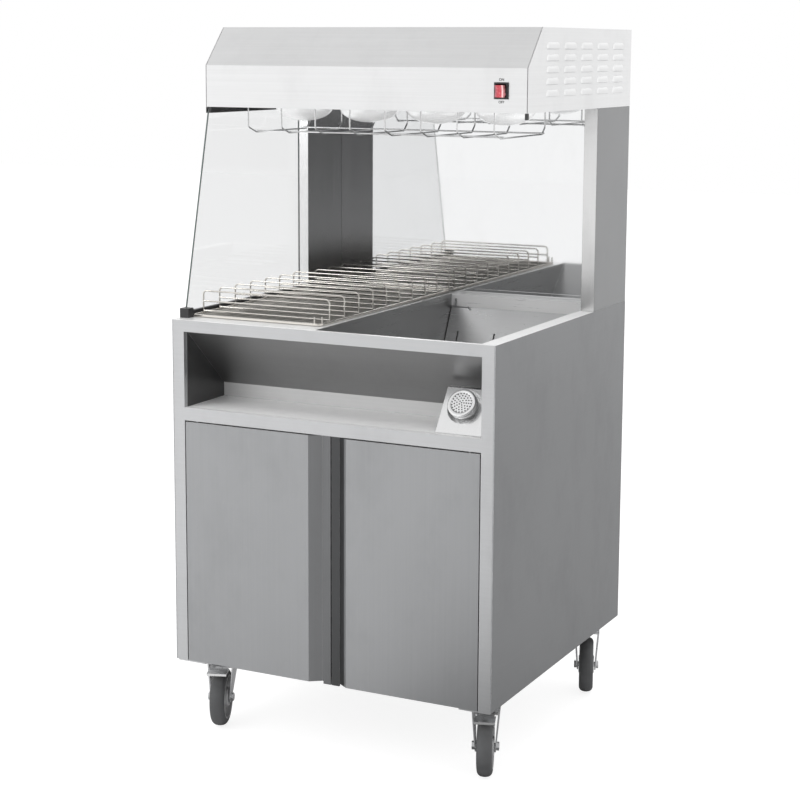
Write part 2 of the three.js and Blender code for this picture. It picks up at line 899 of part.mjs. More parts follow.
// Lamp guard: U wires on two long rods
const guardWires = [];
const guardPitch = (width - guardLeftMargin - guardRightMargin) / (guardCount - 1);
for (let i = 0; i < guardCount; i++) {
  const x = guardLeftMargin + i * guardPitch;
  guardWires.push(wire([
    [x, guardUpright, belowCanopy],
    [x, guardUpright, guardLow + guardFrontRise],
    [x, guardFront, guardLow],
    [x, guardBack, guardLow],
    [x, guardBack + guardBackStep, guardLow + guardBackRise],
    [x, guardBack + guardBackStep, belowCanopy],
  ], guardRadius));
}
for (const y of [guardFront + guardRodShift, guardBack - guardRodShift]) {
  guardWires.push(wire([
    [guardLeftMargin - guardRodOver, y, guardLow + guardRodShift],
    [width - guardRightMargin + guardRodOver, y, guardLow + guardRodShift],
  ], guardRadius));
}
piece('lamp_guard', joined(guardWires), bright);

// Switch: a bezel with its housing, and the rocker in it
const bezelFront = canopyFront - switchProud;
const mouthLeft = switchLeft + switchRim;
const mouthRight = switchRight - switchRim;
const mouthLow = switchLow + switchRim;
const mouthHigh = switchHigh - switchRim;
const housingBack = canopyFront + switchBehind;
piece('switch_body', joined([
  box(switchLeft, switchRight, bezelFront, canopyFront - fit, switchLow, switchHigh),
  box(housingLeft, housingRight, bezelFront, housingBack, housingLow, housingHigh),
]).subtract(
  box(mouthLeft, mouthRight, bezelFront - overrun, housingBack - sheet, mouthLow, mouthHigh),
), blackPlastic);
const rockerHalf = (mouthHigh - mouthLow) / 2 - sheet;
const rockerOutline = [
  [-rockerDepth, rockerHalf],
  [-rockerDepth + rockerDip, 0],
  [-rockerDepth, -rockerHalf],
  [rockerBack, -rockerHalf + rockerNarrow],
  [rockerBack, rockerHalf - rockerNarrow],
].reverse();
const rockerPlace = new THREE.Matrix4()
  .makeTranslation(0, canopyFront, (mouthLow + mouthHigh) / 2)
  .multiply(new THREE.Matrix4().makeRotationX(rockerTiltAngle * toRadians));
piece('switch_rocker', alongX(rockerOutline, mouthLeft + fit, mouthRight - fit), redLens, rockerPlace);

// Rack base: a rounded loop that steps round the left pillar, cross wires and two pegs
const rackZ = deckTop + fit + rackRod;
const loopLeft = rackLeft + rackRod;
const loopRight = rackRight - rackRod;
const loopFront = rackFront + rackRod;
const loopBack = rackBack - rackRod;
const loopMiddle = (loopFront + loopBack) / 2;
const crossZ = rackZ - crossDrop;
const dividerPitch = (loopBack - dividerRearMargin - dividerFirst) / (dividerCount - 1);
const crossPitch = dividerPitch / wiresPerDivider;
const crossFirst = dividerFirst - wiresAhead * crossPitch;
const rackWires = [
  wire([
    [loopLeft, loopMiddle + overrun, rackZ],
    [loopLeft, loopFront, rackZ],
    [loopRight, loopFront, rackZ],
    [loopRight, loopMiddle + overrun, rackZ],
  ], rackRod, rackCorner, wireSides),
  wire([
    [loopLeft, loopMiddle, rackZ],
    [loopLeft, notchY, rackZ],
    [notchX, notchY, rackZ],
    [notchX, loopBack, rackZ],
    [loopRight, loopBack, rackZ],
    [loopRight, loopMiddle, rackZ],
  ], rackRod, notchCorner, wireSides),
];
for (let i = 0; i < crossCount; i++) {
  const y = crossFirst + i * crossPitch;
  const left = y < notchY ? loopLeft : notchX;
  rackWires.push(wire([[left, y, crossZ], [loopRight, y, crossZ]], crossRadius));
}
rackWires.push(wire([
  [loopRight, loopFront + pegAlong, rackZ],
  [loopRight, loopFront + pegAlong, rackZ + pegRise],
], crossRadius));
rackWires.push(wire([
  [loopRight - pegAcross, loopFront, rackZ],
  [loopRight - pegAcross, loopFront, rackZ + pegRise],
], crossRadius));
piece('rack_base', joined(rackWires), bright);

// Rack dividers: hoops with a middle bar and a base bar
const dividerMid = deckTop + dividerMidHeight;
const dividerTop = deckTop + dividerTopHeight;
const dividerLow = rackZ + rackRod + fit + crossRadius;
const dividerRight = rackRight - dividerInset - crossRadius;
for (let i = 0; i < dividerCount; i++) {
  const y = dividerFirst + i * dividerPitch;
  const dividerLeft = (y < notchY ? loopLeft : notchX) + dividerInset - crossRadius / 2;
  piece(`rack_divider_${i + 1}`, joined([
    wire([
      [dividerLeft, y, dividerLow - crossRadius],
      [dividerLeft, y, dividerTop],
      [dividerRight, y, dividerTop],
      [dividerRight, y, dividerLow - crossRadius],
    ], crossRadius, dividerCorner),
    wire([[dividerLeft, y, dividerMid], [dividerRight, y, dividerMid]], crossRadius),
    wire([[dividerLeft, y, dividerLow], [dividerRight, y, dividerLow]], crossRadius),
  ]), bright);
}

// Shaker holder: a sloping plate with a cup, and the shaker in the cup
const slopeAngle = holderSlopeAngle * toRadians;
const slopeY = Math.cos(slopeAngle);
const slopeZ = Math.sin(slopeAngle);
const holderTopY = holderFront + holderLength * slopeY;
const holderTopZ = holderLow + holderLength * slopeZ;
const holderPath = [
  [holderFront, holderLow],
  [holderTopY, holderTopZ],
  [holderTopY + holderFold, holderTopZ],
];
const shakerPlace = new THREE.Matrix4()
  .makeTranslation(shakerX, holderFront + shakerUp * slopeY, holderLow + shakerUp * slopeZ)
  .multiply(new THREE.Matrix4().makeRotationX(slopeAngle));
function shakerSolid(geometry) {
  return solid(geometry.applyMatrix4(shakerPlace));
}
const cup = shakerSolid(turned([
  [0, -cupDepth],
  [cupRadius + cupWall, -cupDepth],
  [cupRadius + cupWall, 0],
  [cupRadius, 0],
  [cupRadius, -cupDepth + cupWall],
  [0, -cupDepth + cupWall],
]));
const cupMouth = shakerSolid(rod(cupRadius, -sheet - fit, overrun));
piece('shaker_holder', alongX(bentSheet(holderPath, sheet), holderLeft, holderRight)
  .subtract(cupMouth)
  .add(cup), bright);
piece('shaker_body', shakerSolid(turned([
  [0, shakerLow],
  [shakerRadius, shakerLow],
  [shakerRadius, shakerHigh],
  [shakerRadius - shakerWall, shakerHigh],
  [shakerRadius - shakerWall, shakerLow + shakerWall],
  [0, shakerLow + shakerWall],
])), bright);
const lidHigh = shakerHigh + fit + lidThickness;
const lidDisc = lidRadius - lidRim;
let lid = solid(turned([
  [0, lidHigh - lidRecess],
  [lidDisc, lidHigh - lidRecess],
  [lidDisc, lidHigh],
  [lidRadius - lidEdge, lidHigh],
  [lidRadius, lidHigh - lidEdge],
  [lidRadius, lidLow],
  [shakerRadius + fit, lidLow],
  [shakerRadius + fit, shakerHigh + fit],
  [0, shakerHigh + fit],
].reverse()));
for (let ring = 1; ring <= lidRings; ring++) {
  const holes = ring * lidPerRing;
  for (let i = 0; i < holes; i++) {
    const angle = (2 * Math.PI * i) / holes;
    const x = ring * lidRingPitch * Math.cos(angle);
    const y = ring * lidRingPitch * Math.sin(angle);
    lid = lid.subtract(upright(x, y, lidHole, shakerHigh - overrun, lidHigh + overrun, holeSides));
  }
}
piece('shaker_lid', lid, bright, shakerPlace);

// Castors, built upright round their swivel axis and then turned into place
const castorTop = cabinetBottom - fit;
const plateLow = castorTop - castorPlateThickness;
const castorPlateBody = joined([
  box(-castorPlateWidth / 2, castorPlateWidth / 2, -castorPlateLength / 2, castorPlateLength / 2,
    plateLow, castorTop),
  upright(0, 0, bossRadius, bossLow, plateLow + castorPlateThickness / 2, bossSides),
  upright(0, 0, kingpinRadius, kingpinLow, bossLow + fit, pinSides),
  upright(0, 0, kingpinHead, kingpinLow, kingpinLow + kingpinHeadHeight, wireSides),
]);
const crownTop = crownLow + crownThickness;
const legOuter = legInner + legThickness;
const legOutline = [
  [legTopFront, crownTop],
  [-castorTrail - legTip, wheelRadius],
  [-castorTrail - legTip / 2, wheelRadius - legTip * legTipDropShare],
  [-castorTrail + legTip / 2, wheelRadius - legTip * legTipDropShare],
  [-castorTrail + legTip, wheelRadius],
  [legTopBack, crownLow],
  [legTopBack, crownTop],
].reverse();
const legLean = legSplay / (crownTop - wheelRadius);
// One leg of the fork: a plate that leans outwards from the axle up to the crown
function leg(side) {
  const plate = alongX(legOutline, legInner, legOuter);
  const lean = plate.transform([1, 0, 0, 0, 0, 1, 0, 0, legLean, 0, 1, 0, -legLean * wheelRadius, 0, 0, 1]);
  return side > 0 ? lean : lean.mirror([1, 0, 0]);
}
const crownHalf = legOuter + legSplay;
const pedalPinHole = crosswise(pedalPinY, pedalPinZ, pedalPinRadius + fit, -crownHalf - overrun,
  crownHalf + overrun, pinSides);
const crown = joined([
  leg(1),
  leg(-1),
  box(-crownHalf, crownHalf, legTopFront, legTopBack, crownLow, crownTop),
  upright(0, 0, raceRadius, crownLow, bossLow - fit, bossSides),
]).subtract(upright(0, 0, raceBore, crownLow - overrun, bossLow + overrun, bossSides));
const axle = joined([
  crosswise(-castorTrail, wheelRadius, axleRadius, -axleHalf, axleHalf, bossSides),
  crosswise(-castorTrail, wheelRadius, nutRadius, -nutHalf, -legOuter, wireSides),
  crosswise(-castorTrail, wheelRadius, nutRadius, legOuter, nutHalf, wireSides),
]);
const forkBody = crown.add(axle);
const brakedForkBody = crown.subtract(pedalPinHole).add(axle);
const halfWheel = wheelWidth / 2;
const rimRadius = wheelRadius - tyreDepth;
const bore = axleRadius + axlePlay;
const wheelProfile = [
  [bore, -hubHalf],
  [hubRadius, -hubHalf],
  [hubRadius, -webHalf],
  [rimRadius, -webHalf],
  [rimRadius, -halfWheel],
  [wheelRadius - tyreShoulder, -halfWheel],
  [wheelRadius, -halfWheel + tyreShoulder],
  [wheelRadius, halfWheel - tyreShoulder],
  [wheelRadius - tyreShoulder, halfWheel],
  [rimRadius, halfWheel],
  [rimRadius, webHalf],
  [hubRadius, webHalf],
  [hubRadius, hubHalf],
  [bore, hubHalf],
  [bore, -hubHalf],
];
const wheelBody = solid(turned(wheelProfile).rotateY(quarter)
  .translate(0, -castorTrail, wheelRadius));

const pedalTonguePath = [
  [pedalTongueBack, pedalPinZ + pedalThickness / 2],
  [pedalKnee, pedalPinZ + pedalThickness / 2],
];
const pedalPaddlePath = [
  [pedalPaddleStart, pedalPinZ + pedalThickness / 2],
  [pedalKnee, pedalPinZ + pedalThickness / 2],
  [pedalTip, pedalPinZ + pedalThickness / 2 - pedalTipDrop],
  [pedalTip, pedalPinZ - pedalTipDrop - pedalLip],
];
const pedalBody = joined([
  alongX(bentSheet(pedalTonguePath, -pedalThickness), -pedalTongueHalf, pedalTongueHalf),
  alongX(bentSheet(pedalPaddlePath, -pedalThickness), -pedalPaddleHalf, pedalPaddleHalf),
  crosswise(pedalPinY, pedalPinZ, pedalPinRadius, -pedalPinHalf, pedalPinHalf, pinSides),
]);

const castorSpots = [
  ['front_left', castorLeft, castorFront],
  ['front_right', width - castorLeft, castorFront],
  ['rear_left', castorLeft, castorBack],
  ['rear_right', width - castorLeft, castorBack],
];
for (const [spot, x, y] of castorSpots) {
  const braked = spot.startsWith('front');
  const straight = new THREE.Matrix4().makeTranslation(x, y, 0);
  const swung = straight.clone().multiply(new THREE.Matrix4().makeRotationZ(castorTurnAngle * toRadians));
  piece(`castor_plate_${spot}`, castorPlateBody, zinc, straight);
  piece(`castor_fork_${spot}`, braked ? brakedForkBody : forkBody, zinc, swung);
  piece(`castor_wheel_${spot}`, wheelBody, rubber, swung);
  if (braked) {
    piece(`brake_pedal_${spot}`, pedalBody, bright, swung);
  }
}

export default group;
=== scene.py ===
import json
import math

import bmesh
import bpy
import numpy as np
from mathutils import Matrix, Vector


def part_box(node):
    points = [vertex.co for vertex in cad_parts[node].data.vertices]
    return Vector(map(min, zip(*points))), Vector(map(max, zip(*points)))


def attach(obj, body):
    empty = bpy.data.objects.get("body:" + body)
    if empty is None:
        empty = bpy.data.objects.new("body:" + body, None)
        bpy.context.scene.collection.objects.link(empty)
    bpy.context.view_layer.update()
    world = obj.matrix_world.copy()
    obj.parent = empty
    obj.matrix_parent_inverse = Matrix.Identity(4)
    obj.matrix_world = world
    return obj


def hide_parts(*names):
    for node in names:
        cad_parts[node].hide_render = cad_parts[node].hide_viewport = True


bl_info = {
    "name": "French fry dump station",
    "version": (1, 0, 0),
    "blender": (4, 5, 0),
    "location": "View3D > Sidebar > Station",
    "description": "Dresses the dump station's CAD frame with its finishes, wires, lamps and stage",
    "category": "Object",
}

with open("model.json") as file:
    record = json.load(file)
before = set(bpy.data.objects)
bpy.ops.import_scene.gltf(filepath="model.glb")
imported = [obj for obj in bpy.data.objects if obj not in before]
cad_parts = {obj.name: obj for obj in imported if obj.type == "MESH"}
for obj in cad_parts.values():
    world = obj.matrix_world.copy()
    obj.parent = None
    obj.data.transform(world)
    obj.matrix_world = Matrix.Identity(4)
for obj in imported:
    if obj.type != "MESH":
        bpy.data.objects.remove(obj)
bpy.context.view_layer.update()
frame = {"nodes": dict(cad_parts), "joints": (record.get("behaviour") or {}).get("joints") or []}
NODES = frame["nodes"]
JOINTS = {joint["name"]: joint for joint in frame["joints"]}
CORNERS = ("front_left", "front_right", "rear_left", "rear_right")
SHARP_ANGLE = math.radians(38)
BEND_STEPS = 6
QUARTER_TURN = np.linspace(0, math.pi / 2, 6)
CAP_RADIUS = 0.0005

# Directions that faces look in
UP = (0.0, 0.0, 1.0)
DOWN = (0.0, 0.0, -1.0)
FORWARD = (0.0, -1.0, 0.0)
BACKWARD = (0.0, 1.0, 0.0)
RIGHTWARD = (1.0, 0.0, 0.0)
LEFTWARD = (-1.0, 0.0, 0.0)
DOOR_BEVEL = (0.578, -0.816, 0.0)
CANOPY_BEVEL = (0.0, -0.745, 0.667)

# Towards the camera's side of the studio, which gloss shows dark
DARK_SIDE = (0.485, -0.875, 0.0)

# How far a face may turn from a direction, as one less the cosine, and still take the painted light
# and shade tone given for it
WIDE = 0.15
LEANING = 0.94

# How deep the painted shade in a recess starts, and how much deeper it is whole
HOLLOW_SHADE_START = 0.004
HOLLOW_SHADE_EDGE = 0.002

STEEL_DUST = (0.62, 0.61, 0.59)
PLASTIC_DUST = (0.5, 0.49, 0.47)
WHITE = (1.0, 1.0, 1.0)


class StationSizes(bpy.types.PropertyGroup):
    """Sizes and numbers of sides of the pieces that Blender makes"""
    rod: bpy.props.FloatProperty(
        name="Rack rod", description="Thickness of the rack's outer rod",
        default=0.006, unit="LENGTH")
    wire: bpy.props.FloatProperty(
        name="Rack wire", description="Thickness of the dividers and pegs",
        default=0.0035, unit="LENGTH")
    cross_wire: bpy.props.FloatProperty(
        name="Cross wire", description="Thickness of the rack's cross wires",
        default=0.0028, unit="LENGTH")
    guard_wire: bpy.props.FloatProperty(
        name="Guard wire", description="Thickness of the lamp guard's wires",
        default=0.0033, unit="LENGTH")
    canopy_sheet: bpy.props.FloatProperty(
        name="Canopy sheet", description="Thickness of the louvred canopy sides",
        default=0.0012, unit="LENGTH")
    canopy_face: bpy.props.FloatProperty(
        name="Canopy face", description="Height of the canopy's upright front edge",
        default=0.0877, unit="LENGTH")
    canopy_bevel: bpy.props.FloatProperty(
        name="Canopy bevel", description="How far the canopy's bevel leans back",
        default=0.072, unit="LENGTH")
    louvre_out: bpy.props.FloatProperty(
        name="Louvre height", description="How far a louvre's hood stands out",
        default=0.003, unit="LENGTH")
    louvre_rise: bpy.props.FloatProperty(
        name="Louvre rise", description="From a hood's lip to its top",
        default=0.0135, unit="LENGTH")
    louvre_length: bpy.props.FloatProperty(
        name="Louvre length", description="Length of a hood's lip",
        default=0.068, unit="LENGTH")
    louvre_pitch: bpy.props.FloatVectorProperty(
        name="Louvre pitch", description="From hood to hood along a row, and from row to row",
        size=2, default=(0.0948, 0.0236), unit="LENGTH")
    louvre_margin: bpy.props.FloatVectorProperty(
        name="Louvre margin",
        description="Last hood's middle to the rear edge, lowest lip to the lower edge",
        size=2, default=(0.0818, 0.0308), unit="LENGTH")
    notch_corner: bpy.props.FloatProperty(
        name="Step corner", description="Bend radius where the rack steps round the pillar",
        default=0.009, unit="LENGTH")
    notch_step: bpy.props.FloatProperty(
        name="Step width", description="How far the rack steps in beside the pillar",
        default=0.021, unit="LENGTH")
    notch_place: bpy.props.FloatProperty(
        name="Step place", description="Distance of the step from the rack's front",
        default=0.461, unit="LENGTH")
    divider_corner: bpy.props.FloatProperty(
        name="Divider corner", description="Bend radius at a divider's top corners",
        default=0.009, unit="LENGTH")
    divider_mid: bpy.props.FloatProperty(
        name="Divider middle", description="Height of the middle bar above the base bar",
        default=0.0206, unit="LENGTH")
    cross_pitch: bpy.props.FloatProperty(
        name="Cross wire pitch", description="Distance between the rack's cross wires",
        default=0.0161, unit="LENGTH")
    guard_bend: bpy.props.FloatProperty(
        name="Guard bend", description="Bend radius of the lamp guard's wires",
        default=0.006, unit="LENGTH")
    glass_bevel: bpy.props.FloatProperty(
        name="Glass bevel", description="Width of the ground bevel along the side glass's edge",
        default=0.0012, unit="LENGTH")
    wire_sides: bpy.props.IntProperty(
        name="Wire sides", description="Number of sides round a wire", default=12, min=6)
    round_sides: bpy.props.IntProperty(
        name="Round sides", description="Number of sides round a turned piece", default=72, min=24)


class StationColours(bpy.types.PropertyGroup):
    """Colours of the finishes, as linear values"""
    sheet: bpy.props.FloatVectorProperty(
        name="Sheet steel", description="Brushed stainless of the side panels", subtype="COLOR",
        size=3, default=(0.237, 0.2405, 0.2465), min=0, max=1)
    frame: bpy.props.FloatVectorProperty(
        name="Frame steel", description="Brushed stainless of the front frame and the deck",
        subtype="COLOR", size=3, default=(0.60, 0.605, 0.614), min=0, max=1)
    door: bpy.props.FloatVectorProperty(
        name="Door steel", description="Brushed stainless of the doors", subtype="COLOR",
        size=3, default=(0.40, 0.405, 0.414), min=0, max=1)
    # The two pillars are one steel; their different tones are painted light and shade.
    pillar_left: bpy.props.FloatVectorProperty(
        name="Left pillar", description="Brushed stainless of the left pillar", subtype="COLOR",
        size=3, default=(0.43, 0.43, 0.436), min=0, max=1)
    pillar_right: bpy.props.FloatVectorProperty(
        name="Right pillar", description="Brushed stainless of the right pillar", subtype="COLOR",
        size=3, default=(0.225, 0.228, 0.232), min=0, max=1)
    # Painted shade: the niche's steel is darker where little light reaches inside.
    niche: bpy.props.FloatVectorProperty(
        name="Niche steel", description="Stainless inside the niche, darkened as painted shade", subtype="COLOR",
        size=3, default=(0.32, 0.32, 0.322), min=0, max=1)
    basin: bpy.props.FloatVectorProperty(
        name="Basin steel", description="Formed stainless of the basin", subtype="COLOR",
        size=3, default=(0.50, 0.502, 0.505), min=0, max=1)
    # Painted light: the lighter tone that faces looking up or forward take, as if lit there.
    upward: bpy.props.FloatVectorProperty(
        name="Upward faces", description="Lighter tone of faces that look up or forward",
        subtype="COLOR", size=3, default=(0.88, 0.88, 0.88), min=0, max=1)
    canopy: bpy.props.FloatVectorProperty(
        name="Canopy steel", description="Brighter stainless of the canopy and small pieces",
        subtype="COLOR", size=3, default=(0.75, 0.752, 0.755), min=0, max=1)
    wire: bpy.props.FloatVectorProperty(
        name="Wire", description="Bright drawn wire", subtype="COLOR",
        size=3, default=(0.84, 0.81, 0.76), min=0, max=1)
    zinc: bpy.props.FloatVectorProperty(
        name="Zinc", description="Zinc plated castor parts", subtype="COLOR",
        size=3, default=(0.68, 0.685, 0.695), min=0, max=1)
    tyre: bpy.props.FloatVectorProperty(
        name="Tyre", description="Grey black rubber of the tyres", subtype="COLOR",
        size=3, default=(0.055, 0.056, 0.058), min=0, max=1)
    core: bpy.props.FloatVectorProperty(
        name="Wheel core", description="Grey moulded wheel centres", subtype="COLOR",
        size=3, default=(0.30, 0.30, 0.305), min=0, max=1)
    black: bpy.props.FloatVectorProperty(
        name="Black plastic", description="Glass channels and the switch bezel", subtype="COLOR",
        size=3, default=(0.02, 0.02, 0.021), min=0, max=1)
    # Painted shade: the tone of the deck's recess and of the faces behind the basin.
    hollow_shade: bpy.props.FloatVectorProperty(
        name="Hollows", description="Dark tone inside the deck's recess and behind the basin",
        subtype="COLOR", size=3, default=(0.07, 0.07, 0.072), min=0, max=1)
    red: bpy.props.FloatVectorProperty(
        name="Red lens", description="Lit rocker lens", subtype="COLOR",
        size=3, default=(0.42, 0.04, 0.055), min=0, max=1)
    glass: bpy.props.FloatVectorProperty(
        name="Glass", description="Clear side glass", subtype="COLOR",
        size=3, default=(0.942, 0.946, 0.949), min=0, max=1)
    floor: bpy.props.FloatVectorProperty(
        name="Floor", description="Pale studio floor", subtype="COLOR",
        size=3, default=(0.92, 0.92, 0.92), min=0, max=1)


class StationStage(bpy.types.PropertyGroup):
    """Camera, lights and floor"""
    eye: bpy.props.FloatVectorProperty(
        name="Camera place", description="Where the camera stands", subtype="TRANSLATION",
        unit="LENGTH", size=3, default=(1.782, -3.593, 1.465))
    turn: bpy.props.FloatProperty(
        name="Camera turn", description="Turn of the camera about the upright",
        subtype="ANGLE", default=math.radians(26.61))
    tilt: bpy.props.FloatProperty(
        name="Camera tilt", description="Tilt of the camera below the horizon",
        subtype="ANGLE", default=math.radians(8.83))
    roll: bpy.props.FloatProperty(
        name="Camera roll", description="Roll of the camera about its own view",
        subtype="ANGLE", default=math.radians(0.28))
    lens: bpy.props.FloatProperty(
        name="Lens", description="Focal length in millimetres", default=83.34)
    shift: bpy.props.FloatProperty(
        name="Shift", description="Upward shift of the picture, as a share of its width",
        default=-0.08)
    floor_size: bpy.props.FloatProperty(
        name="Floor size", description="Side of the square floor", default=30.0, unit="LENGTH")
    floor_shine: bpy.props.FloatProperty(
        name="Floor shine", description="Light that the floor gives off where it is looked at",
        default=0.84)
    room_light: bpy.props.FloatProperty(
        name="Room light", description="Strength of the light from all round", default=1.1)
    front_power: bpy.props.FloatProperty(
        name="Front softbox", description="Power of the front softbox", default=60.0, unit="POWER")
    top_power: bpy.props.FloatProperty(
        name="Top softbox", description="Power of the top softbox", default=30.0, unit="POWER")
    overhead: bpy.props.FloatProperty(
        name="Overhead", description="Brightness overhead, as gloss shows it", default=0.74)
    dark_side: bpy.props.FloatProperty(
        name="Dark side", description="Brightness round the camera, as gloss shows it",
        default=0.15)
    floor_front: bpy.props.FloatProperty(
        name="Floor in front", description="Floor tone close in front, as gloss shows it",
        default=0.58)
    floor_back: bpy.props.FloatProperty(
        name="Floor behind", description="Floor tone close behind, as gloss shows it", default=0.62)
    floor_far: bpy.props.FloatProperty(
        name="Floor far off", description="Floor tone at a distance, as gloss shows it",
        default=0.72)


def sizes():
    return bpy.context.scene.station_sizes


def colours():
    return bpy.context.scene.station_colours


def middle(low, high):
    return (low + high) / 2


def whole_turn(sides):
    return np.linspace(0, 2 * np.pi, sides, endpoint=False)


def numbered(stem):
    """The CAD nodes with this name and a number, from 1 up."""
    names = (f"{stem}_{number}" for number in range(1, len(NODES) + 1))
    return [name for name in names if name in NODES]


def node_points(name):
    vertices = NODES[name].data.vertices
    points = np.empty(len(vertices) * 3)
    vertices.foreach_get("co", points)
    return points.reshape(-1, 3)


def arc_corner(before, corner, after, radius):
    """Points of a round bend: the bend starts and ends at radius / tan(half the angle) from
    the corner, and its centre lies on the line that halves the angle."""
    arriving = (before - corner) / np.linalg.norm(before - corner)
    leaving = (after - corner) / np.linalg.norm(after - corner)
    half = np.arccos(np.clip(arriving @ leaving, -1, 1)) / 2
    halving = arriving + leaving
    centre = corner + halving / np.linalg.norm(halving) * radius / np.sin(half)
    start = corner + arriving * radius / np.tan(half) - centre
    end = corner + leaving * radius / np.tan(half) - centre
    sweep = np.pi - 2 * half
    share = np.linspace(0, 1, BEND_STEPS + 1)[:, None]
    swept = np.sin((1 - share) * sweep) * start + np.sin(share * sweep) * end
    return centre + swept / np.sin(sweep)


def bent_path(corners, radius, closed=False):
    """Straight runs between the corners with a round bend at each inner corner, or at every
    corner of a closed path."""
    points = np.asarray(corners, float)
    count = len(points)
    inner = range(count) if closed else range(1, count - 1)
    bends = [arc_corner(points[i - 1], points[i], points[(i + 1) % count], radius) for i in inner]
    if closed:
        return np.concatenate(bends)
    return np.concatenate([points[:1], *bends, points[-1:]])


def wire_mesh(path, normal, thickness, closed=False):
    """A round wire along a flat path: each ring is path + radius * (cos a * across + sin a *
    normal), where across is at right angles to the run of the path and to the path's flat."""
    path, normal = np.asarray(path, float), np.asarray(normal, float)
    if closed:
        run = np.roll(path, -1, axis=0) - np.roll(path, 1, axis=0)
    else:
        run = np.gradient(path, axis=0)
    run /= np.linalg.norm(run, axis=1, keepdims=True)
    across = np.cross(normal, run)
    angle = whole_turn(sizes().wire_sides)[None, :, None]
    round_it = np.cos(angle) * across[:, None] + np.sin(angle) * normal
    return grid_mesh(path[:, None] + thickness / 2 * round_it, closed)


def grid_mesh(rings, closed):
    """Quads between neighbouring points of neighbouring rings. Open ends get one cap face
    each."""
    count, sides = rings.shape[:2]
    bands = count if closed else count - 1
    row = np.arange(bands)[:, None]
    column = np.arange(sides)[None, :]
    following = (column + 1) % sides
    upper = (row + 1) % count
    quads = np.stack([
        row * sides + column, row * sides + following,
        upper * sides + following, upper * sides + column,
    ], axis=-1).reshape(-1, 4)
    around = np.arange(sides)
    caps = [] if closed else [np.stack([around[::-1], (count - 1) * sides + around])]
    return rings.reshape(-1, 3), [quads, *caps]


def turned_mesh(profile, centre, axis, closed=False, sides=None):
    """A turned piece: each profile point (radius, height) becomes a ring centre + height *
    axis + radius * (cos a * side + sin a * other). Radii never reach zero: a small round cap
    closes each end."""
    axis = np.asarray(axis, float) / np.linalg.norm(axis)
    helper = np.array(UP if abs(axis[2]) < 0.9 else RIGHTWARD)
    side = np.cross(helper, axis)
    side /= np.linalg.norm(side)
    other = np.cross(axis, side)
    profile = np.asarray(profile, float)
    angle = whole_turn(sides or sizes().round_sides)[None, :, None]
    rings = (np.asarray(centre, float) + profile[:, 1, None, None] * axis
             + profile[:, 0, None, None] * (np.cos(angle) * side + np.sin(angle) * other))
    return grid_mesh(rings, closed)


def joined_meshes(parts):
    """Several meshes laid end to end, each with its own material number. A mesh is its points
    and arrays of faces, one array for each number of corners."""
    points, faces, slots = [], [], []
    start = 0
    for (part_points, face_arrays), material_number in parts:
        points.append(part_points)
        for face_array in face_arrays:
            faces += (np.asarray(face_array) + start).tolist()
            slots += [material_number] * len(face_array)
        start += len(part_points)
    return np.concatenate(points), faces, slots


def turned_place(node, axis):
    """Centre, radius and half length of a turned CAD node whose axis has a known direction:
    its points spread evenly round that axis."""
    points = node_points(node)
    along = points @ axis
    flat = points - along[:, None] * axis
    centre = middle(flat.min(axis=0), flat.max(axis=0))
    radius = np.linalg.norm(flat - centre, axis=1).max()
    return centre + middle(along.min(), along.max()) * axis, radius, np.ptp(along) / 2


def make_piece(name, parts, materials, body, replaced=(), smooth=True):
    """A new object from joined meshes, riding on a body and standing for CAD nodes."""
    points, faces, slots = joined_meshes(parts)
    mesh = bpy.data.meshes.new(name)
    mesh.from_pydata(points.tolist(), [], faces)
    for material in materials:
        mesh.materials.append(material)
    mesh.polygons.foreach_set("material_index", slots)
    mesh.polygons.foreach_set("use_smooth", [smooth] * len(faces))
    mesh.update()
    if smooth:
        mesh.set_sharp_from_angle(angle=SHARP_ANGLE)
    piece = bpy.data.objects.new(name, mesh)
    bpy.context.scene.collection.objects.link(piece)
    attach(piece, body)
    if replaced:
        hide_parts(*replaced)
    return piece


def dress(nodes, material):
    """Puts one material on every slot of the named CAD nodes."""
    for name in nodes:
        mesh = NODES[name].data
        if not mesh.materials:
            mesh.materials.append(material)
        for index in range(len(mesh.materials)):
            mesh.materials[index] = material


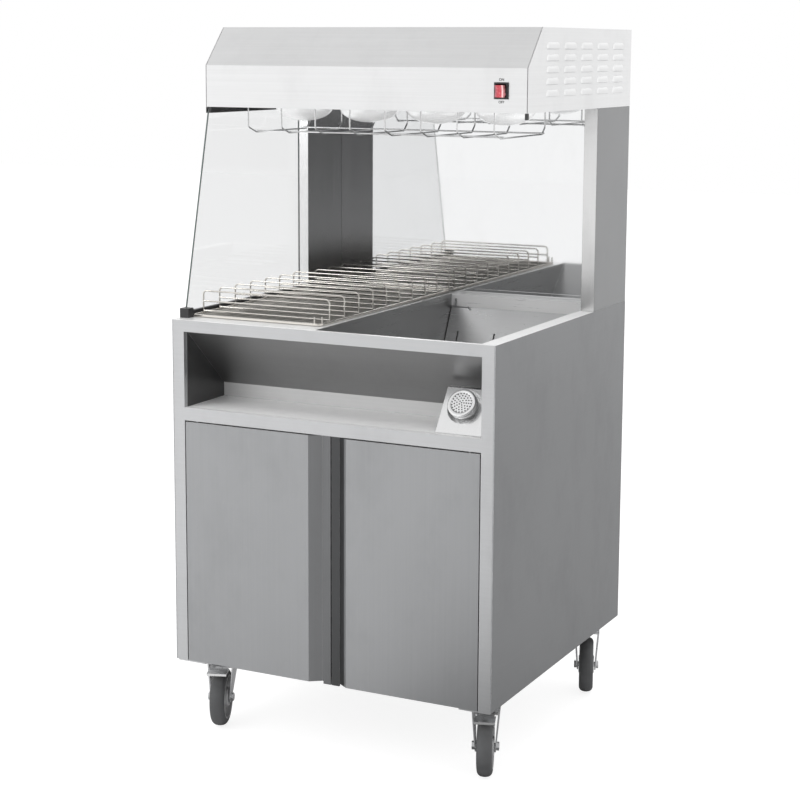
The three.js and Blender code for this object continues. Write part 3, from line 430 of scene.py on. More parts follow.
class Graph:
    """Adds, sets and links shader nodes in one node tree"""

    def __init__(self, tree):
        self.tree = tree

    def add(self, kind, **settings):
        node = self.tree.nodes.new(kind)
        for key, value in settings.items():
            setattr(node, key, value)
        return node

    def give(self, socket, value):
        """Links another node's output to an input, or sets a plain value there. A colour is
        given without its alpha."""
        if isinstance(value, bpy.types.NodeSocket):
            self.tree.links.new(value, socket)
        elif socket.type == "RGBA":
            socket.default_value = (*value, 1.0)
        else:
            socket.default_value = value

    def feed(self, node, **values):
        """Gives a node's inputs their values, by name with _ for a space."""
        for name, value in values.items():
            self.give(node.inputs[name.replace("_", " ")], value)
        return node

    def place(self):
        return self.add("ShaderNodeTexCoord").outputs["Object"]

    def facing(self, direction):
        """One where a face looks in the direction, nought where it stands across it."""
        normal = self.add("ShaderNodeNewGeometry").outputs["Normal"]
        return self.vectors("DOT_PRODUCT", normal, direction)

    def maths(self, operation, first, second, clamp=False):
        node = self.add("ShaderNodeMath", operation=operation, use_clamp=clamp)
        self.give(node.inputs[0], first)
        self.give(node.inputs[1], second)
        return node.outputs[0]

    def vectors(self, operation, first, second=None):
        """A vector node's result: a number for LENGTH and DOT_PRODUCT, otherwise a vector."""
        node = self.add("ShaderNodeVectorMath", operation=operation)
        self.give(node.inputs[0], first)
        if second is not None:
            self.give(node.inputs[1], second)
        return node.outputs["Value" if operation in ("LENGTH", "DOT_PRODUCT") else "Vector"]

    def part(self, vector, name):
        """The X, Y or Z of a vector."""
        split = self.add("ShaderNodeSeparateXYZ")
        self.give(split.inputs[0], vector)
        return split.outputs[name]

    def grey(self, tone):
        """One number as all three channels of a colour."""
        joined = self.feed(self.add("ShaderNodeCombineXYZ"), X=tone, Y=tone, Z=tone)
        return joined.outputs[0]

    def noise(self, vector, scale, detail, roughness=0.5):
        node = self.feed(self.add("ShaderNodeTexNoise"), Vector=vector, Scale=scale, Detail=detail,
                         Roughness=roughness)
        return node.outputs["Fac"]

    def remap(self, value, given, wanted=(0.0, 1.0)):
        """Turns the given range into the wanted one. Both are pairs, and the ends hold."""
        node = self.feed(self.add("ShaderNodeMapRange"), Value=value,
                         From_Min=given[0], From_Max=given[1], To_Min=wanted[0], To_Max=wanted[1])
        return node.outputs["Result"]

    def mixed(self, share, first, second, blend="MIX"):
        """Mixes two colours."""
        node = self.add("ShaderNodeMix", data_type="RGBA", blend_type=blend)
        for socket, value in ((0, share), (6, first), (7, second)):
            self.give(node.inputs[socket], value)
        return node.outputs[2]

    def blended(self, share, first, second):
        """Mixes two numbers."""
        node = self.add("ShaderNodeMix", data_type="FLOAT")
        for socket, value in ((0, share), (2, first), (3, second)):
            self.give(node.inputs[socket], value)
        return node.outputs[0]

    def bumped(self, height, strength, depth):
        return self.feed(self.add("ShaderNodeBump"), Height=height, Strength=strength,
                         Distance=depth)


def shader_group(name, inputs, outputs):
    """A new shader node group. Each input is (name, socket kind, default), and each output
    (name, socket kind)."""
    tree = bpy.data.node_groups.new(name, "ShaderNodeTree")
    for label, kind, default in inputs:
        socket = tree.interface.new_socket(name=label, in_out="INPUT", socket_type=kind)
        if default is not None:
            socket.default_value = default
    for label, kind in outputs:
        tree.interface.new_socket(name=label, in_out="OUTPUT", socket_type=kind)
    graph = Graph(tree)
    return graph, graph.add("NodeGroupInput").outputs, graph.add("NodeGroupOutput")


def brushed_grain_group():
    """Fine parallel brushing, drifting tone and hand marks on stainless sheet."""
    graph, given, result = shader_group(
        "Brushed grain",
        [("Colour", "NodeSocketColor", None), ("Stretch", "NodeSocketVector", (2.0, 2.0, 240.0)),
         ("Tone Swing", "NodeSocketFloat", 0.05), ("Roughness", "NodeSocketFloat", 0.3),
         ("Rough Swing", "NodeSocketFloat", 0.06), ("Marks", "NodeSocketFloat", 0.04)],
        [("Colour", "NodeSocketColor"), ("Roughness", "NodeSocketFloat"),
         ("Height", "NodeSocketFloat")])
    place = graph.place()
    stretched = graph.vectors("MULTIPLY", place, given["Stretch"])
    lines = graph.noise(stretched, scale=1.0, detail=6.0, roughness=0.7)
    drift = graph.noise(place, scale=2.3, detail=3.0, roughness=0.55)
    taller = graph.vectors("MULTIPLY", place, (1.0, 1.0, 0.55))
    marks = graph.noise(taller, scale=9.0, detail=5.0, roughness=0.7)
    stain = graph.maths("MULTIPLY", graph.remap(marks, (0.5, 0.78)), given["Marks"])
    fine = graph.maths("SUBTRACT", lines, 0.5)
    swing = graph.maths("MULTIPLY", fine, given["Tone Swing"])
    slow = graph.maths("MULTIPLY", graph.maths("SUBTRACT", drift, 0.5), given["Tone Swing"])
    tone = graph.maths("ADD", graph.maths("ADD", swing, slow), 1.0)
    grey = graph.grey(graph.maths("SUBTRACT", tone, stain))
    rough = graph.maths("MULTIPLY", fine, given["Rough Swing"])
    rough = graph.maths("ADD", rough, given["Roughness"])
    graph.feed(result, Colour=graph.mixed(1.0, given["Colour"], grey, "MULTIPLY"),
               Roughness=graph.maths("ADD", rough, stain, clamp=True), Height=lines)
    return graph.tree


def worn_edge_and_sheen_group():
    """A mask of the outer edges, which wear and a painted sheen lighten, from a rounded normal set
    against the flat one, broken up by noise, and the rounded normal itself."""
    graph, given, result = shader_group(
        "Worn edges and sheen",
        [("Radius", "NodeSocketFloat", 0.0012), ("Break Up", "NodeSocketFloat", 60.0)],
        [("Mask", "NodeSocketFloat"), ("Normal", "NodeSocketVector")])
    rounded = graph.feed(graph.add("ShaderNodeBevel", samples=4), Radius=given["Radius"]).outputs[0]
    flat = graph.add("ShaderNodeNewGeometry").outputs["Normal"]
    edge = graph.remap(graph.vectors("DOT_PRODUCT", rounded, flat), (0.995, 0.90))
    breaks = graph.noise(graph.place(), scale=given["Break Up"], detail=3.0)
    breaks = graph.remap(breaks, (0.3, 0.65), (0.25, 1.0))
    graph.feed(result, Mask=graph.maths("MULTIPLY", edge, breaks, clamp=True), Normal=rounded)
    return graph.tree


def settled_dust_group():
    """A thin film on faces that look upwards, patchy at a hand's width."""
    graph, given, result = shader_group(
        "Settled dust", [("Amount", "NodeSocketFloat", 0.1)], [("Mask", "NodeSocketFloat")])
    normal = graph.add("ShaderNodeNewGeometry").outputs["Normal"]
    upward = graph.remap(graph.part(normal, "Z"), (0.6, 1.0))
    patches = graph.noise(graph.place(), scale=14.0, detail=4.0, roughness=0.6)
    patches = graph.remap(patches, (0.35, 0.7), (0.3, 1.0))
    film = graph.maths("MULTIPLY", upward, patches)
    graph.feed(result, Mask=graph.maths("MULTIPLY", film, given["Amount"]))
    return graph.tree


def placed_group(graph, name, maker, **values):
    """Places a shared group, which is built when it is first asked for."""
    tree = bpy.data.node_groups.get(name) or maker()
    return graph.feed(graph.add("ShaderNodeGroup", node_tree=tree), **values)


def empty_material(name):
    """A new material, its graph and its shader, or a finished one of that name and no graph."""
    material = bpy.data.materials.get(name)
    if material:
        return material, None, None
    material = bpy.data.materials.new(name)
    material.use_nodes = True
    return material, Graph(material.node_tree), material.node_tree.nodes["Principled BSDF"]


def toned(colour, share=1.0):
    return tuple(min(1.0, channel * share) for channel in colour)


def painted_light_by_facing(graph, base, metal, facing):
    """Painted light and shade: each (direction, tone, metal, spread) gives faces that look that way
    a painted tone of their own for how light falls on them, and less metal if they are made matt."""
    for direction, tone, matt, spread in facing:
        share = graph.remap(graph.facing(direction), (1 - spread, 1 - spread / 3))
        base = graph.mixed(share, base, tone)
        metal = graph.remap(share, (0.0, 1.0), (metal, matt))
    return base, metal


def brushed_steel(name, colour, roughness=0.3, stretch=(2.0, 2.0, 240.0), swing=0.14, grain=0.25,
                  marks=0.05, dust=0.1, edge=0.0012, facing=(), hollow_shade=None, above=()):
    """Brushed or plain stainless: grain, hand marks, edges lightened by wear and a painted sheen,
    and a little dust. Faces take tones of painted light and shade by the way they look. Painted
    shade in a recess, given as (direction, distance, tone, metal, rough), changes all that lies
    further than the distance along the direction, except the faces in above, which are told like
    those in facing."""
    material, graph, shader = empty_material(name)
    if graph is None:
        return material
    grained = placed_group(graph, "Brushed grain", brushed_grain_group, Stretch=stretch,
                           Tone_Swing=swing, Roughness=roughness, Marks=marks)
    rough = grained.outputs["Roughness"]
    # Painted light and shade by the way faces look.
    base, metal = painted_light_by_facing(graph, colour, 1.0, facing)
    # Painted shade in a recess: darker tone, its own metal and roughness.
    if hollow_shade:
        direction, distance, tone, inner_metal, inner_rough = hollow_shade
        reach = graph.vectors("DOT_PRODUCT", graph.place(), direction)
        inside = graph.remap(reach, (distance, distance + HOLLOW_SHADE_EDGE))
        base = graph.mixed(inside, base, tone)
        metal = graph.remap(inside, (0.0, 1.0), (metal, inner_metal))
        rough = graph.remap(inside, (0.0, 1.0), (rough, inner_rough))
        base, metal = painted_light_by_facing(graph, base, metal, above)
    graph.feed(grained, Colour=base)
    edges = placed_group(graph, "Worn edges and sheen", worn_edge_and_sheen_group, Radius=edge)
    film = placed_group(graph, "Settled dust", settled_dust_group, Amount=dust).outputs["Mask"]
    # Edges lighter: partly wear, partly a painted sheen.
    worn_and_sheen = graph.mixed(edges.outputs["Mask"], grained.outputs["Colour"], toned(colour, 1.28))
    bump = graph.bumped(grained.outputs["Height"], strength=grain, depth=0.00008)
    graph.feed(bump, Normal=edges.outputs["Normal"])
    graph.feed(shader, Base_Color=graph.mixed(film, worn_and_sheen, STEEL_DUST), Metallic=metal,
               Roughness=graph.maths("ADD", rough, film, clamp=True), Normal=bump.outputs[0])
    return material


def mirror_steel():
    material, graph, shader = empty_material("mirror polished steel")
    if graph is None:
        return material
    grained = placed_group(graph, "Brushed grain", brushed_grain_group, Colour=(0.86, 0.865, 0.87),
                           Stretch=(60.0, 60.0, 60.0), Tone_Swing=0.02, Roughness=0.03,
                           Rough_Swing=0.01, Marks=0.03)
    graph.feed(shader, Base_Color=grained.outputs["Colour"],
               Roughness=grained.outputs["Roughness"], Metallic=1.0)
    return material


def moulded(name, colour, roughness, bump_scale, bump_strength):
    """Moulded plastic or rubber: a fine grain, patchy gloss and lighter edges, partly wear and
    partly a painted sheen.
    """
    material, graph, shader = empty_material(name)
    if graph is None:
        return material
    place = graph.place()
    patches = graph.noise(place, scale=25.0, detail=4.0, roughness=0.6)
    grain = graph.noise(place, scale=bump_scale, detail=3.0, roughness=0.6)
    lighter = tuple(min(1.0, channel * 2.2 + 0.02) for channel in colour)
    edges = placed_group(graph, "Worn edges and sheen", worn_edge_and_sheen_group)
    film = placed_group(graph, "Settled dust", settled_dust_group, Amount=0.12)
    patched = graph.mixed(graph.remap(patches, (0.3, 0.7), (0.0, 0.25)), colour, lighter)
    # Edges lighter: partly wear, partly a painted sheen.
    worn_and_sheen = graph.mixed(graph.maths("MULTIPLY", edges.outputs["Mask"], 0.5), patched, lighter)
    gloss = graph.remap(patches, (0.3, 0.7), (roughness - 0.06, roughness + 0.08))
    bump = graph.bumped(grain, strength=bump_strength, depth=0.0002)
    graph.feed(bump, Normal=edges.outputs["Normal"])
    graph.feed(shader, Base_Color=graph.mixed(film.outputs["Mask"], worn_and_sheen, PLASTIC_DUST),
               Roughness=gloss, Normal=bump.outputs[0], Metallic=0.0)
    return material


def clear_pane():
    material, graph, shader = empty_material("clear side glass")
    if graph is None:
        return material
    smears = graph.noise(graph.place(), scale=7.0, detail=5.0, roughness=0.7)
    graph.feed(shader, Base_Color=colours().glass, Metallic=0.0, Transmission_Weight=1.0, IOR=1.45,
               Roughness=graph.remap(smears, (0.45, 0.8), (0.0, 0.05)))
    return material


def ground_glass_edge():
    material, graph, shader = empty_material("ground glass edge")
    if graph is None:
        return material
    stretched = graph.vectors("MULTIPLY", graph.place(), (300.0, 300.0, 40.0))
    grain = graph.noise(stretched, scale=1.0, detail=3.0, roughness=0.6)
    green, pale = (0.055, 0.07, 0.068), (0.12, 0.14, 0.135)
    graph.feed(shader, Base_Color=graph.mixed(grain, green, pale),
               Roughness=graph.remap(grain, (0.3, 0.7), (0.12, 0.3)))
    return material


def lit_red_lens():
    """Red plastic lit from within, with painted light and shade across it: a greyer left end, a
    painted glint and a dark right end; fine ribs carry painted highlights.
    """
    material, graph, shader = empty_material("lit red lens")
    if graph is None:
        return material
    low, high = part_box("switch_rocker")
    place = graph.place()
    across = graph.remap(graph.vectors("DOT_PRODUCT", place, RIGHTWARD), (low[0], high[0]))
    stretched = graph.vectors("MULTIPLY", place, (420.0, 60.0, 150.0))
    ribs = graph.noise(stretched, scale=1.0, detail=3.0, roughness=0.6)
    # Painted glint and shade across the lens.
    glint = graph.feed(graph.add("ShaderNodeValToRGB"), Fac=across)
    red = toned(colours().red)
    stops = ((0.0, (0.22, 0.11, 0.13)), (0.25, red), (0.6, red), (0.76, (0.80, 0.55, 0.55)),
             (0.84, (0.30, 0.10, 0.10)), (1.0, (0.06, 0.012, 0.012)))
    while len(glint.color_ramp.elements) < len(stops):
        glint.color_ramp.elements.new(0.5)
    for element, (share, tone) in zip(glint.color_ramp.elements, stops):
        element.position = share
        element.color = (*tone, 1.0)
    # Painted highlights on the ribs.
    shine = graph.remap(ribs, (0.45, 0.7), (0.0, 0.5))
    glow = graph.mixed(shine, glint.outputs[0], (0.72, 0.24, 0.27))
    graph.feed(shader, Base_Color=glow, Emission_Color=glow, Emission_Strength=0.05,
               Roughness=graph.remap(ribs, (0.3, 0.7), (0.12, 0.25)))
    return material


def lamp_face():
    """Frosted glass, silvered behind, that glows a little."""
    material, graph, shader = empty_material("frosted lamp face")
    if graph is None:
        return material
    frost = graph.noise(graph.place(), scale=420.0, detail=3.0, roughness=0.6)
    pale = graph.mixed(frost, (0.86, 0.865, 0.87), (0.96, 0.96, 0.96))
    graph.feed(shader, Base_Color=pale, Emission_Color=pale, Emission_Strength=0.2, Metallic=0.25,
               Roughness=graph.remap(frost, (0.3, 0.7), (0.14, 0.3)),
               Normal=graph.bumped(frost, strength=0.15, depth=0.0002).outputs[0])
    return material


def sheet_finish():
    # Painted light: faces that look up are light and matt, and forward faces far lighter than the
    # sheet.
    return brushed_steel("brushed body sheet", toned(colours().sheet), roughness=0.36,
                         facing=((UP, toned(colours().upward), 0.3, WIDE),
                                 (FORWARD, toned(colours().sheet, 2.9), 1.0, WIDE)))


def frame_finish():
    # Painted light: faces that look up take the lighter upward tone, with less metal.
    return brushed_steel("brushed front frame", toned(colours().frame), roughness=0.34,
                         stretch=(2.0, 3.0, 240.0),
                         facing=((UP, toned(colours().upward), 0.3, WIDE),))


def deck_finish():
    """The shallow recess below the deck's rim gets painted shade: dark, rough and not metal. Faces
    that look up get painted light.
    """
    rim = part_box("deck_plate")[1][2]
    return brushed_steel("brushed deck", toned(colours().frame), roughness=0.3,
                         stretch=(6.0, 400.0, 6.0),
                         facing=((UP, toned(colours().upward, 0.85), 0.3, WIDE),),
                         hollow_shade=(DOWN, HOLLOW_SHADE_START - rim, toned(colours().hollow_shade, 0.5),
                                 0.0, 0.85))


def door_finish(side, strip_shade):
    """The strip where the doors meet lies deeper than their fronts and gets painted shade, its tone
    the door's times the share given for each door. The bevel beside it and the faces that look up
    get painted light."""
    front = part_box(f"door_{side}")[0][1]
    return brushed_steel(f"brushed {side} door", toned(colours().door), roughness=0.36,
                         stretch=(240.0, 3.0, 2.0), marks=0.06,
                         facing=((UP, toned(colours().upward), 0.5, WIDE),),
                         hollow_shade=(BACKWARD, front + HOLLOW_SHADE_START, toned(colours().door, strip_shade),
                                 1.0, 0.3),
                         above=((DOOR_BEVEL, toned(colours().door, 1.25), 1.0, WIDE),))


def pillar_finish(side, colour, front):
    """Painted light and shade: the front has a share of the upward tone, and the side that looks
    left has the right pillar's darker tone on both pillars."""
    return brushed_steel(f"brushed {side} pillar", toned(colour), roughness=0.24,
                         stretch=(60.0, 60.0, 1.5), swing=0.22, grain=0.12,
                         facing=((FORWARD, toned(colours().upward, front), 1.0, WIDE),
                                 (LEFTWARD, toned(colours().pillar_right), 1.0, WIDE)))


def niche_finish():
    # Painted light on faces that look up and forward, made matt to catch it; painted shade on faces
    # that look right.
    return brushed_steel("dull niche sheet with painted light and shade", toned(colours().niche), roughness=0.38,
                         facing=((UP, toned(colours().upward, 1.13), 0.2, WIDE),
                                 (FORWARD, toned(colours().upward, 0.66), 0.15, WIDE),
                                 (RIGHTWARD, toned(colours().niche, 0.4), 1.0, WIDE)))


def canopy_finish():
    """Painted light: the front and the bevel above it are brighter than the rest."""
    bright = toned(colours().canopy, 1.12)
    return brushed_steel("brushed canopy sheet", toned(colours().canopy), roughness=0.30,
                         edge=0.0004,
                         facing=((CANOPY_BEVEL, bright, 1.0, WIDE), (FORWARD, bright, 1.0, WIDE)))


def louvre_finish():
    """The canopy's sheet with painted highlights where the hoods lean upwards and at their ends,
    and matt faces that look down, lightened as painted light.
    """
    pale = toned(colours().canopy, 1.33)
    return brushed_steel("brushed louvred sheet", toned(colours().canopy), roughness=0.30,
                         edge=0.0004,
                         facing=((UP, pale, 1.0, LEANING), (FORWARD, pale, 1.0, LEANING),
                                 (DOWN, toned(colours().canopy, 0.9), 0.3, WIDE)))


def basin_finish():
    # Painted light on faces that look forward, made matt; painted shade on faces that look right
    # and back.
    return brushed_steel("plain basin sheet", toned(colours().basin), roughness=0.28,
                         stretch=(8.0, 8.0, 300.0), swing=0.08, grain=0.03, marks=0.02,
                         facing=((FORWARD, toned(colours().upward), 0.3, WIDE),
                                 (RIGHTWARD, toned(colours().basin, 0.75), 1.0, WIDE),
                                 (BACKWARD, toned(colours().hollow_shade), 1.0, WIDE)))


def drain_finish():
    # Painted light: the basin's steel made lighter, standing in for a bright reflection on the
    # plate.
    return brushed_steel("plain drain sheet", toned(colours().basin, 1.15), roughness=0.28,
                         stretch=(8.0, 300.0, 300.0), swing=0.12, grain=0.1)


def plain_finish():
    return brushed_steel("plain formed sheet", toned(colours().canopy, 1.25), roughness=0.22,
                         stretch=(260.0, 8.0, 8.0), swing=0.06)


def drawn_steel(name, colour, roughness, swing=0.08, marks=0.03):
    """Smooth steel with an even grain, for wires and small bright pieces."""
    return brushed_steel(name, colour, roughness=roughness, stretch=(40.0, 40.0, 40.0),
                         swing=swing, grain=0.05, marks=marks, dust=0.04)


def shaded_cross_wire_finish():
    # Painted shade: the wire's tone darkened to four tenths, for the shade under the rack.
    return drawn_steel("dull cross wire with painted shade", toned(colours().wire, 0.4), roughness=0.3, swing=0.1,
                       marks=0.05)


def wire_finish():
    return drawn_steel("bright drawn wire", toned(colours().wire), roughness=0.16)


def bright_finish():
    return drawn_steel("bright plain steel", toned(colours().canopy, 1.15), roughness=0.18)


def zinc_finish():
    return brushed_steel("zinc plate", toned(colours().zinc), roughness=0.28,
                         stretch=(120.0, 120.0, 120.0), swing=0.16, grain=0.15, marks=0.08,
                         dust=0.15)


def reflector_finish():
    return brushed_steel("silvered reflector", (0.78, 0.78, 0.77), roughness=0.12,
                         stretch=(30.0, 30.0, 30.0), swing=0.04, grain=0.03)


def lamp_cap_finish():
    return brushed_steel("lamp cap", (0.66, 0.62, 0.52), roughness=0.25,
                         stretch=(60.0, 60.0, 60.0))


def black_finish():
    return moulded("satin black plastic", toned(colours().black), roughness=0.38,
                   bump_scale=900.0, bump_strength=0.15)


def tyre_finish():
    return moulded("grey black rubber", toned(colours().tyre), roughness=0.6,
                   bump_scale=700.0, bump_strength=0.35)


def wheel_centre_finish():
    return moulded("grey wheel centre", toned(colours().core), roughness=0.42,
                   bump_scale=500.0, bump_strength=0.15)


def lamp_rail_finish():
    return moulded("lamp rail and sockets", (0.55, 0.54, 0.51), roughness=0.45,
                   bump_scale=500.0, bump_strength=0.2)


def hole_shade_finish():
    # Painted shade: the dark that fills a hole.
    return moulded("painted shade inside the holes", (0.012, 0.012, 0.012), roughness=0.6,
                   bump_scale=400.0, bump_strength=0.05)


def mark_finish():
    return moulded("printed mark", (0.03, 0.03, 0.03), roughness=0.5,
                   bump_scale=400.0, bump_strength=0.05)


class STATION_OT_sheet_metal(bpy.types.Operator):
    """Gives the body, the doors, the canopy and the mirror their steel"""
    bl_idname = "station.sheet_metal"
    bl_label = "Sheet metal"

    def execute(self, context):
        dress(["side_panel_left", "side_panel_right", "back_panel", "base_pan"], sheet_finish())
        dress(["front_frame", "lamp_plate"], frame_finish())
        dress(["deck_plate"], deck_finish())
        dress(["door_left"], door_finish("left", strip_shade=0.48))
        dress(["door_right"], door_finish("right", strip_shade=0.22))
        dress(["pillar_left"], pillar_finish("left", colours().pillar_left, front=1.02))
        dress(["pillar_right"], pillar_finish("right", colours().pillar_right, front=0.82))
        dress(["niche_liner"], niche_finish())
        dress(["canopy_shell"], canopy_finish())
        dress(["dump_basin"], basin_finish())
        dress(["drain_plate"], drain_finish())
        dress(["shaker_holder"], plain_finish())
        dress(["mirror_panel"], mirror_steel())
        dress(["hinge_left", "hinge_right"], zinc_finish())
        return {"FINISHED"}


class STATION_OT_louvred_sides(bpy.types.Operator):
    """Makes the canopy's two sides: a sheet with rows of pressed louvres, open at their lips"""
    bl_idname = "station.louvred_sides"
    bl_label = "Louvred canopy sides"
    columns = 5
    rows = 5
    column_steps = 28
    row_steps = 14
    end_power = 6
    top_power = 3
    roundness = 0.75
    weld = 1e-6

    def execute(self, context):
        finish = louvre_finish()
        for side, outward in (("left", -1), ("right", 1)):
            self.louvred_side(side, outward, finish)
        return {"FINISHED"}

    def grid(self, low, high):
        """Columns along Y, heights, the rows below the lips, and each point's share of the way
        out: (1 - s^6 - t^3)^0.75, with s the distance from a hood's middle over half its
        length and t the height above its lip over its rise, and nought elsewhere. Each lip
        has two rows at one height, the lower one flat."""
        size = sizes()
        (pitch_along, pitch_up), (rear_margin, low_margin) = size.louvre_pitch, size.louvre_margin
        half, rise = size.louvre_length / 2, size.louvre_rise
        middles = high[1] - rear_margin - pitch_along * np.arange(self.columns)[::-1]
        lips = low[2] + low_margin + pitch_up * np.arange(self.rows)
        across = -np.cos(np.linspace(0, np.pi, self.column_steps + 1)) * half
        upward = np.sin(np.linspace(0, np.pi / 2, self.row_steps + 1)) * rise
        columns = np.concatenate([[low[1]], (middles[:, None] + across).ravel(), [high[1]]])
        heights = np.sort(np.concatenate(
            [[low[2], high[2], low[2] + size.canopy_face], lips, (lips[:, None] + upward).ravel()]))
        below_lip = np.searchsorted(heights, lips)
        above = (heights[:, None] - lips) / rise
        above = np.where(above < 0, 1, above).min(axis=1)
        above[below_lip] = 1
        beside = np.abs(columns[:, None] - middles).min(axis=1) / half
        hood = 1 - beside ** self.end_power - above[:, None] ** self.top_power
        return columns, heights, below_lip, np.clip(hood, 0, None) ** self.roundness

    def louvred_side(self, side, outward, finish):
        """The grid's points stand out by their share of the hoods' height, and lean back
        above the canopy's face. No faces join a lip's two rows, so that each hood is open
        downwards."""
        size = sizes()
        node = f"canopy_side_{side}"
        low, high = (np.array(end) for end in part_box(node))
        columns, heights, below_lip, hood = self.grid(low, high)
        along = np.tile(columns, (len(heights), 1))
        bend = low[2] + size.canopy_face
        along[:, 0] += size.canopy_bevel * np.clip((heights - bend) / (high[2] - bend), 0, 1)
        flat = (high[0] if outward > 0 else low[0]) - outward * size.louvre_out
        upright = np.repeat(heights, len(columns)).reshape(hood.shape)
        points = np.stack([flat + outward * size.louvre_out * hood, along, upright], axis=-1)
        rows = np.setdiff1d(np.arange(len(heights) - 1), below_lip)[:, None] * len(columns)
        corner = rows + np.arange(len(columns) - 1)
        over = corner + len(columns)
        quads = np.stack([corner, corner + 1, over + 1, over], axis=-1).reshape(-1, 4)
        mesh = points.reshape(-1, 3), [quads[:, ::outward]]
        piece = make_piece(f"louvred_side_{side}", [(mesh, 0)], [finish], "cabinet",
                           replaced=(node,))
        shell = bmesh.new()
        shell.from_mesh(piece.data)
        bmesh.ops.remove_doubles(shell, verts=shell.verts, dist=self.weld)
        shell.to_mesh(piece.data)
        shell.free()
        sheet = piece.modifiers.new("Sheet", "SOLIDIFY")
        sheet.thickness = size.canopy_sheet
        sheet.offset = -1
        piece.modifiers.new("Even shading", "WEIGHTED_NORMAL")


class STATION_OT_channels(bpy.types.Operator):
    """Gives the glass channels, the switch, the lamp rail and the stop their plastic"""
    bl_idname = "station.channels"
    bl_label = "Glass channels, switch and lamp rail"

    def execute(self, context):
        dress(["glass_base_channel", "glass_top_channel", "glass_stop_right", "switch_body"],
              black_finish())
        dress(["switch_rocker"], lit_red_lens())
        dress(["lamp_rail"], lamp_rail_finish())
        return {"FINISHED"}


class STATION_OT_side_glass(bpy.types.Operator):
    """Makes the side glass: two clear faces, and a ground edge with a bevel on each side"""
    bl_idname = "station.side_glass"
    bl_label = "Side glass"
    arris_share = 0.2

    def execute(self, context):
        """The two faces are the outline drawn in by the bevel: each corner moves along the
        sum of its two edges' inward normals, divided by one plus their dot product."""
        points = node_points("side_glass")
        low, high = points.min(axis=0), points.max(axis=0)
        top_front = points[points[:, 2] > middle(low[2], high[2])][:, 1].min()
        outline = np.array([
            [low[1], low[2]], [high[1], low[2]], [high[1], high[2]], [top_front, high[2]]])
        run = np.roll(outline, -1, axis=0) - outline
        inward = np.column_stack([-run[:, 1], run[:, 0]]) / np.linalg.norm(run, axis=1)[:, None]
        before = np.roll(inward, 1, axis=0)
        share = sizes().glass_bevel / (1 + np.sum(inward * before, axis=1))[:, None]
        inset = outline + (inward + before) * share
        arris = (high[0] - low[0]) * self.arris_share
        rings = [(low[0], inset), (low[0] + arris, outline), (high[0] - arris, outline),
                 (high[0], inset)]
        points = np.concatenate([np.column_stack([np.full(4, x), ring]) for x, ring in rings])
        panes = np.array([[3, 2, 1, 0], [12, 13, 14, 15]])
        corner = np.arange(4)
        following = (corner + 1) % 4
        band = np.column_stack([corner, following, following + 4, corner + 4])
        edges = np.concatenate([band, band + 4, band + 8])
        make_piece("side_glass_pane", [((points, [panes]), 0), ((points, [edges]), 1)],
                   [clear_pane(), ground_glass_edge()], "cabinet", ["side_glass"],
                   smooth=False)
        return {"FINISHED"}


class STATION_OT_wire_rack(bpy.types.Operator):
    """Bends the rack's outer rod, lays its cross wires and pegs, and stands the dividers"""
    bl_idname = "station.wire_rack"
    bl_label = "Wire rack"
    cross_drop = 0.001
    first_cross = 2
    peg_back = 0.009
    peg_in = 0.013

    def execute(self, context):
        finish = wire_finish()
        self.base(finish)
        for number, node in enumerate(numbered("rack_divider"), 1):
            self.divider(number, node, finish)
        return {"FINISHED"}

    def base(self, finish):
        """A closed rod that steps in beside the left pillar, cross wires a pitch apart from two
        pitches before the first divider, and two upright pegs at the front right."""
        size = sizes()
        low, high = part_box("rack_base")
        left, right = low[0] + size.rod / 2, high[0] - size.rod / 2
        front, back = low[1] + size.rod / 2, high[1] - size.rod / 2
        level = low[2] + size.rod / 2
        step, inner = front + size.notch_place, left + size.notch_step
        loop = bent_path([
            [left, front, level], [right, front, level], [right, back, level],
            [inner, back, level], [inner, step, level], [left, step, level],
        ], size.notch_corner, closed=True)
        parts = [(wire_mesh(loop, UP, size.rod, closed=True), 0)]
        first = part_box("rack_divider_1")
        start = middle(first[0][1], first[1][1]) - self.first_cross * size.cross_pitch
        under = level - self.cross_drop
        for y in np.arange(start, back, size.cross_pitch):
            path = [[left if y < step else inner, y, under], [right, y, under]]
            parts.append((wire_mesh(path, BACKWARD, size.cross_wire), 1))
        for x, y in ((right, front + self.peg_back), (right - self.peg_in, front)):
            path = [[x, y, level], [x, y, high[2]]]
            parts.append((wire_mesh(path, BACKWARD, size.wire), 0))
        make_piece("rack_wires", parts, [finish, shaded_cross_wire_finish()], "rack", ["rack_base"])

    def divider(self, number, node, finish):
        """A hoop with round top corners, and two level bars across it."""
        size = sizes()
        wire = size.wire
        low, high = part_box(node)
        y = middle(low[1], high[1])
        left, right = low[0] + wire / 2, high[0] - wire / 2
        base, top = low[2] + wire / 2, high[2] - wire / 2
        hoop = bent_path([[left, y, low[2]], [left, y, top], [right, y, top], [right, y, low[2]]],
                         size.divider_corner)
        bars = [[[left, y, z], [right, y, z]] for z in (base, base + size.divider_mid)]
        parts = [(wire_mesh(path, BACKWARD, wire), 0) for path in (hoop, *bars)]
        make_piece(f"divider_wires_{number}", parts, [finish], "rack", [node])


